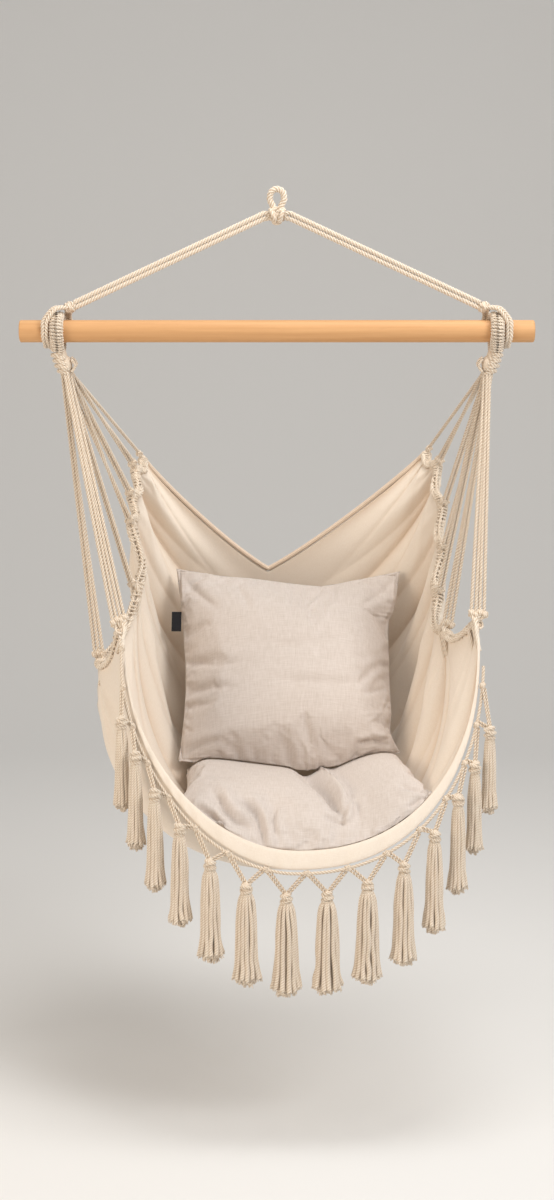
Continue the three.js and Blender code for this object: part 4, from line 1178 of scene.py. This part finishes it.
def linen_look():
    """Heathered linen: pale and grey threads that run across and up the cushion, with sheen."""
    pale = (0.69, 0.62, 0.575, 1)
    grey = (0.575, 0.5, 0.445, 1)
    look = Look("cushion_linen", 0.93, 0.3)
    at = look.everywhere()
    x, y, z = look.split(at)
    upright = look.noise(look.place(x * 620, (y + z) * 34, y * 34), 1.0, 2.0)
    level = look.noise(look.place(x * 34, (y + z) * 620, y * 200), 1.0, 2.0)
    cloud = look.noise(at, 7.0, 2.0)
    tone = ((upright + level - 1.0) * 1.5 + 0.45 + (cloud - 0.5) * 0.3).clamped()
    look.color(look.mixed(tone, pale, grey))
    look.bump(upright + level, 0.0005, 0.5)
    return look


linen = linen_look()


def seen(points):
    """Where points show in the photograph, in its pixels."""
    turned = np.array(camera.matrix_basis.inverted())
    local = points @ turned[:3, :3].T + turned[:3, 3]
    focal = camera_data.lens / camera_data.sensor_height * photo_height
    across = photo_width / 2 - focal * local[..., 0] / local[..., 2]
    down = photo_height / 2 + focal * local[..., 1] / local[..., 2]
    return np.stack([across, down], -1)


def line_of(points, at):
    """A smooth line through points, read at places from -1 to 1."""
    return along_rows(points, (np.asarray(at) + 1) / 2)


def crown(t, power=2.6):
    """The fullness of a cushion across it, 1 in the middle and 0 at its seams."""
    return (1 - np.clip(np.abs(t), 0, 1) ** power) ** 0.6


def finer(grid):
    """A grid of points with a point added between each two neighbours."""
    for _ in range(2):
        grid = np.swapaxes(along_rows(grid, np.linspace(0, 1, 2 * len(grid) - 1)), 0, 1)
    return grid


def spaced(steps):
    """Places from -1 to 1, closer together near the seams."""
    share = np.linspace(-1, 1, steps + 1)
    return np.sin(share * math.pi / 2) * 0.45 + share * 0.55


def panel_faces(steps):
    """The faces of two panels that share the points of their rim."""
    row = steps + 1
    own = np.arange(row * row).reshape(row, row)
    under = own.copy()
    under[1:-1, 1:-1] = row * row + np.arange((steps - 1) ** 2).reshape(steps - 1, steps - 1)
    top = np.stack([own[:-1, :-1], own[:-1, 1:], own[1:, 1:], own[1:, :-1]], -1).reshape(-1, 4)
    low = np.stack([under[:-1, :-1], under[1:, :-1], under[1:, 1:], under[:-1, 1:]], -1).reshape(-1, 4)
    return np.vstack([top, low]).tolist()


def joined(top, low):
    """The points of two panels in one list, with the rim once."""
    return np.vstack([top.reshape(-1, 3), low[1:-1, 1:-1].reshape(-1, 3)])


def parted(points, steps):
    """The two panels' grids out of that list."""
    row = steps + 1
    top = points[:row * row].reshape(row, row, 3)
    low = top.copy()
    low[1:-1, 1:-1] = points[row * row:].reshape(steps - 1, steps - 1, 3)
    return top, low


def swollen(name, top, low):
    """Both panels blown up a little by cloth simulation, with the seam held where it is."""
    start = joined(top, low)
    piece = made(name, start.tolist(), panel_faces(panel_steps))
    seam = piece.vertex_groups.new(name="seam")
    row = panel_steps + 1
    rim = [j * row + i for j in range(row) for i in range(row) if i in (0, row - 1) or j in (0, row - 1)]
    seam.add(rim, 1.0, "REPLACE")
    cover = piece.modifiers.new("cover", "CLOTH")
    cover.settings.quality = 6
    cover.settings.mass = 0.25
    cover.settings.tension_stiffness = 18
    cover.settings.compression_stiffness = 18
    cover.settings.shear_stiffness = 8
    cover.settings.bending_stiffness = 0.35
    cover.settings.vertex_group_mass = "seam"
    cover.settings.shrink_min = cover_shrink
    cover.settings.use_pressure = True
    cover.settings.uniform_pressure_force = swell_pressure
    cover.settings.effector_weights.gravity = 0
    cover.collision_settings.use_collision = False
    cover.point_cache.frame_end = swell_frames
    for step in range(1, swell_frames + 1):
        bpy.context.scene.frame_set(step)
    settled = piece.evaluated_get(bpy.context.evaluated_depsgraph_get()).to_mesh()
    points = np.empty(len(settled.vertices) * 3)
    settled.vertices.foreach_get("co", points)
    bpy.context.scene.frame_set(1)
    bpy.data.objects.remove(piece)
    moved = points.reshape(-1, 3) - start
    far = np.linalg.norm(moved, axis=1, keepdims=True)
    return parted(start + moved * np.minimum(1, swell_limit / np.maximum(far, 1e-9)), panel_steps)


def cleared(points, tree, upwards, gap, rounds=5):
    """Points moved a gap out of a surface, or straight up off it, and smoothly beside it."""
    steep = 0.4
    search = 90 * mm
    points = points.copy()
    before = points.copy()
    for i, point in enumerate(points.reshape(-1, 3)):
        found, normal, _, _ = tree.find_nearest(Vector(point), search)
        if found is not None:
            short = gap - (Vector(point) - found).dot(normal)
            if short > 0 and upwards and normal.z > steep:
                points.reshape(-1, 3)[i] = point + np.array((0, 0, short / normal.z))
            elif short > 0:
                points.reshape(-1, 3)[i] = point + np.array(normal) * short
    moved = points - before
    for _ in range(rounds):
        moved[1:-1, 1:-1] = (moved[1:-1, 1:-1] + moved[:-2, 1:-1] + moved[2:, 1:-1] + moved[1:-1, :-2]
                             + moved[1:-1, 2:]) / 5
    return before + moved


def creased(grid, creases, pressed):
    """Presses creases into a panel. Each is a line in the photograph's pixels, with its depth, its
    width in pixels and the height of the lip at its left."""
    normal = unit(np.cross(np.gradient(grid, axis=1), np.gradient(grid, axis=0)))
    place = seen(grid)
    press = np.zeros(grid.shape[:2])
    for line, depth, wide, lip in creases:
        path = route([(x, y, 0) for x, y in line], 1.5)[:, :2]
        offset = place[:, :, None, :] - path
        far = np.linalg.norm(offset, axis=-1)
        near = far.argmin(axis=-1)
        ahead = unit(np.gradient(path, axis=0))[near]
        offset = np.take_along_axis(offset, near[..., None, None], axis=2)[:, :, 0]
        beside = ahead[..., 1] * offset[..., 0] - ahead[..., 0] * offset[..., 1]
        far = far.min(axis=-1)
        share = near / (len(path) - 1)
        taper = smoothstep(share, -0.05, 0.35) * (1 - smoothstep(share, 0.65, 1.05))
        press -= pressed * depth * taper * np.exp(-(far / wide) ** 1.5)
        raised = np.exp(-((beside - 2.2 * wide) / (1.6 * wide)) ** 2) * np.exp(-(far / (6 * wide)) ** 2)
        press += pressed * lip * taper * raised
    return grid + normal * press[..., None]


def sewn(top, low):
    """Gives the low panel the rim of the top one."""
    low[0], low[-1], low[:, 0], low[:, -1] = top[0], top[-1], top[:, 0], top[:, -1]


def cushion(name, node, body, middle, top_height, low_height, lift, creases, pressed, still):
    """A cushion of two panels about a middle surface that ends at the seam. Still lists the surfaces
    that it is kept clear of, each with whether its points move straight up off that surface."""
    share = spaced(panel_steps)
    a, b = np.meshgrid(share, share)
    centre = middle(a, b)
    inside = np.minimum(1 - np.abs(a), 1 - np.abs(b)) * cushion_half
    pinch = smoothstep(inside, 1 * mm, seam_turn)
    top = centre + lift * (top_height(a, b) * pinch + seam_fold * (inside > 0))[..., None]
    low = centre - lift * (low_height(a, b) * pinch + seam_fold * (inside > 0))[..., None]
    for tree, upwards in still:
        low = cleared(low, tree, upwards, cushion_gap * 2, 16)
        top = cleared(top, tree, upwards, cushion_gap * 2, 16)
    sewn(top, low)
    top, low = swollen(name, top, low)
    top, low = finer(top), finer(low)
    share = np.interp(np.linspace(0, panel_steps, 2 * panel_steps + 1), np.arange(panel_steps + 1), share)
    a, b = np.meshgrid(share, share)
    for grid, way in ((top, 1), (low, -1)):
        normal = unit(np.cross(np.gradient(grid, axis=1), np.gradient(grid, axis=0))) * way
        pucker = np.zeros_like(a)
        for near, along, turn in ((1 - np.abs(a), b, np.sign(a)), (1 - np.abs(b), a, 3 * np.sign(b))):
            waves = np.sin(along * 41 + turn * 1.7 + 2 * np.sin(along * 9 + turn))
            waves = waves + 0.6 * np.sin(along * 67 + turn)
            pucker += seam_pucker * waves * np.exp(-near / 0.06) * smoothstep(near, 0, 0.03)
        grid += normal * pucker[..., None]
    top = creased(top, creases, pressed)
    for tree, upwards in still:
        low = cleared(low, tree, upwards, cushion_gap)
        top = cleared(top, tree, upwards, cushion_gap)
    sewn(top, low)
    points = joined(top, low)
    faces = panel_faces(2 * panel_steps)
    piece = made(name, points.tolist(), faces)
    piece.data.materials.append(linen.material)
    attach(piece, body)
    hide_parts(node)
    return BVHTree.FromPolygons(points.tolist(), faces)


cloth_points = cloth_middle.reshape(-1, 3)
cloth_grid = np.arange(len(cloth_points)).reshape(cloth_middle.shape[:2])
inner = np.stack([cloth_grid[:-1, :-1], cloth_grid[1:, :-1], cloth_grid[1:, 1:], cloth_grid[:-1, 1:]], -1)
cloth_tree = BVHTree.FromPolygons(cloth_points.tolist(), inner.reshape(-1, 4).tolist())

# The seat cushion's front and back seams, as places in millimetres from left to right.
seat_front = [(-186, -268, -1150), (-118, -296, -1196), (-20, -312, -1222), (70, -316, -1219),
              (160, -310, -1200), (236, -296, -1168), (298, -266, -1122)]
seat_back = [(-192, 96, -1158), (-130, 112, -1182), (-20, 124, -1208), (54, 124, -1210), (140, 120, -1200),
             (212, 104, -1176), (252, 84, -1160)]
seat_rise = 84 * mm
seat_sag = 100 * mm
seat_waist = 12 * mm
left_lean = 0.55
valley_back = 0.03
valley_turn = 0.16
valley_depth = 0.4
valley_width = 0.25
seat_pressed = 2.7


def seat_middle(a, b):
    """The surface between the seams of the seat cushion. Across and up it, a and b go from -1 to 1."""
    front, back = line_of(np.array(seat_front) * mm, a), line_of(np.array(seat_back) * mm, a)
    place = front + (back - front) * ((b + 1) / 2)[..., None]
    place[..., 0] -= seat_waist * np.sign(a) * (1 - b ** 2) * np.abs(a) ** 3
    return place


def seat_top(a, b):
    """Its upper panel, with the valley between its two lobes."""
    at = valley_back + valley_turn * (1 - b)
    valley = 1 - valley_depth * np.exp(-np.abs((a - at) / valley_width) ** 1.4)
    return seat_rise * crown(a) * crown(b, 2.4) * valley * (1 + 0.09 * a)


def seat_low(a, b):
    """Its lower panel, which fills the pan of the cloth."""
    return seat_sag * crown(a) * crown(b)


seat_creases = [
    ([(293, 768), (309, 776), (324, 788), (334, 801), (344, 822)], 10 * mm, 4.2, 8 * mm),
    ([(351, 797), (346, 808), (342, 820), (341, 826)], 4 * mm, 2.2, 2 * mm),
    ([(322, 812), (331, 818), (343, 823), (352, 822)], 3 * mm, 2.0, 1.5 * mm),
    ([(206, 786), (216, 794), (226, 810), (240, 822), (258, 830)], 6 * mm, 3.8, 3.5 * mm),
    ([(238, 798), (250, 808), (259, 822), (262, 836), (260, 850)], 6 * mm, 3.8, 4 * mm),
    ([(276, 805), (273, 818), (274, 830), (280, 840)], 3.5 * mm, 2.6, 2 * mm),
    ([(190, 806), (203, 809), (220, 822), (232, 828)], 4 * mm, 2.6, 2 * mm),
    ([(434, 795), (420, 790), (407, 788), (396, 781)], 3.5 * mm, 2.6, 2 * mm),
    ([(432, 797), (421, 799), (412, 805), (404, 806)], 2.5 * mm, 2.2, 1 * mm),
    ([(192, 778), (206, 774), (224, 775), (240, 781)], 2 * mm, 3.5, 1 * mm),
]
lean = -left_lean * (1 - smoothstep(spaced(panel_steps), -1.0, -0.1))
up = unit(np.stack([np.zeros_like(lean), lean, np.ones_like(lean)], -1))[:, None, :]
seat_tree = cushion("pillow_seat", "seat_cushion", "seat_cushion", seat_middle, seat_top, seat_low, up,
                    seat_creases, seat_pressed, [(cloth_tree, False)])

# Back cushion: the same cover and filling, stood on the seat cushion and leant into the cloth. Its
# sides pull in between four pointed corners. The seam is given across and up the cushion, in mm.
back_lean = math.radians(31)
back_up = np.array((0, math.sin(back_lean), math.cos(back_lean)))
back_out = np.array((0, -math.cos(back_lean), math.sin(back_lean)))
back_centre = np.mean(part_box("back_cushion"), axis=0)
back_bottom = [(-222, -222), (-166, -226), (-103, -230), (-34, -236), (29, -240), (70, -236), (140, -222),
               (203, -210), (226, -204)]
back_top = [(-235, 203), (-143, 187), (-71, 180), (16, 168), (74, 164), (147, 178), (236, 197)]
back_left = [(-222, -222), (-213, -132), (-211, -42), (-217, 49), (-225, 127), (-235, 203)]
back_right = [(226, -204), (208, -162), (210, -117), (208, -42), (209, 72), (221, 111), (236, 197)]
back_rise = 66 * mm
back_pressed = 1.8


def back_middle(a, b):
    """The surface between the four seams of the back cushion."""
    bottom, top, left, right = (line_of(np.array(side) * mm, at) for side, at in
                                ((back_bottom, a), (back_top, a), (back_left, b), (back_right, b)))
    s, t = ((a + 1) / 2)[..., None], ((b + 1) / 2)[..., None]
    corners = [np.array(line[k]) * mm for line in (back_bottom, back_top) for k in (0, -1)]
    flat = bottom + (top - bottom) * t + left + (right - left) * s
    flat -= (corners[0] * (1 - s) + corners[1] * s) * (1 - t) + (corners[2] * (1 - s) + corners[3] * s) * t
    return back_centre + flat[..., :1] * np.array((1.0, 0, 0)) + flat[..., 1:] * back_up


def back_height(a, b):
    """Both of its panels, a little uneven."""
    return back_rise * crown(a, 2.3) * crown(b, 2.3) * (1 + 0.08 * np.sin(a * 2.1 + 0.5) * np.cos(b * 2.3))


back_creases = [
    ([(324, 584), (319, 592), (312, 598), (303, 603)], 3.2 * mm, 2.8, 2 * mm),
    ([(355, 745), (366, 742), (378, 742), (392, 746)], 6 * mm, 2.6, 3 * mm),
    ([(366, 731), (373, 737), (381, 740), (391, 738)], 3.5 * mm, 2.4, 2 * mm),
    ([(389, 688), (380, 690), (369, 692), (358, 691)], 2.5 * mm, 2.4, 1.2 * mm),
    ([(388, 650), (376, 655), (362, 657), (348, 656)], 1.6 * mm, 3.0, 0.8 * mm),
    ([(184, 659), (200, 663), (222, 664), (248, 660)], 2.2 * mm, 3.6, 1.2 * mm),
    ([(186, 690), (202, 690), (222, 686), (240, 688)], 1.8 * mm, 3.6, 1.0 * mm),
    ([(260, 676), (300, 680), (340, 682), (372, 680)], 1.8 * mm, 4.5, 1.0 * mm),
    ([(250, 640), (290, 645), (330, 640), (360, 628)], 1.2 * mm, 5.0, 0.6 * mm),
    ([(184, 757), (196, 748), (210, 742), (228, 738)], 3 * mm, 3.4, 1.5 * mm),
    ([(182, 576), (192, 588), (206, 600), (222, 610)], 3 * mm, 4.0, 1.5 * mm),
    ([(395, 578), (384, 590), (370, 600), (356, 606)], 3 * mm, 4.0, 1.5 * mm),
    ([(236, 579), (240, 590), (246, 600), (250, 612)], 1.8 * mm, 3.6, 1.0 * mm),
]
cushion("pillow_back", "back_cushion", "back_cushion", back_middle, back_height, back_height, back_out,
        back_creases, back_pressed, [(cloth_tree, False), (seat_tree, True)])

# Edge tab: a folded strip of black ribbon caught in the left seam of the back cushion, bare. It is
# the CAD solid with the ribbon's fine ribs.


def ribbon_look():
    """Black ribbon with fine ribs across it."""
    dark = (0.010, 0.010, 0.012, 1)
    pale = (0.022, 0.022, 0.026, 1)
    look = Look("ribbon_black", 0.75)
    up = look.node("ShaderNodeSeparateXYZ", {}, [look.everywhere()], 2)
    rib = (up * 5200).maths("SINE")
    look.color(look.mixed((rib * 0.5 + 0.5).clamped(), dark, pale))
    look.bump(rib, 0.0003, 0.5)
    return look


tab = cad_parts["cushion_tab"]
tab.data.materials.clear()
tab.data.materials.append(ribbon_look().material)
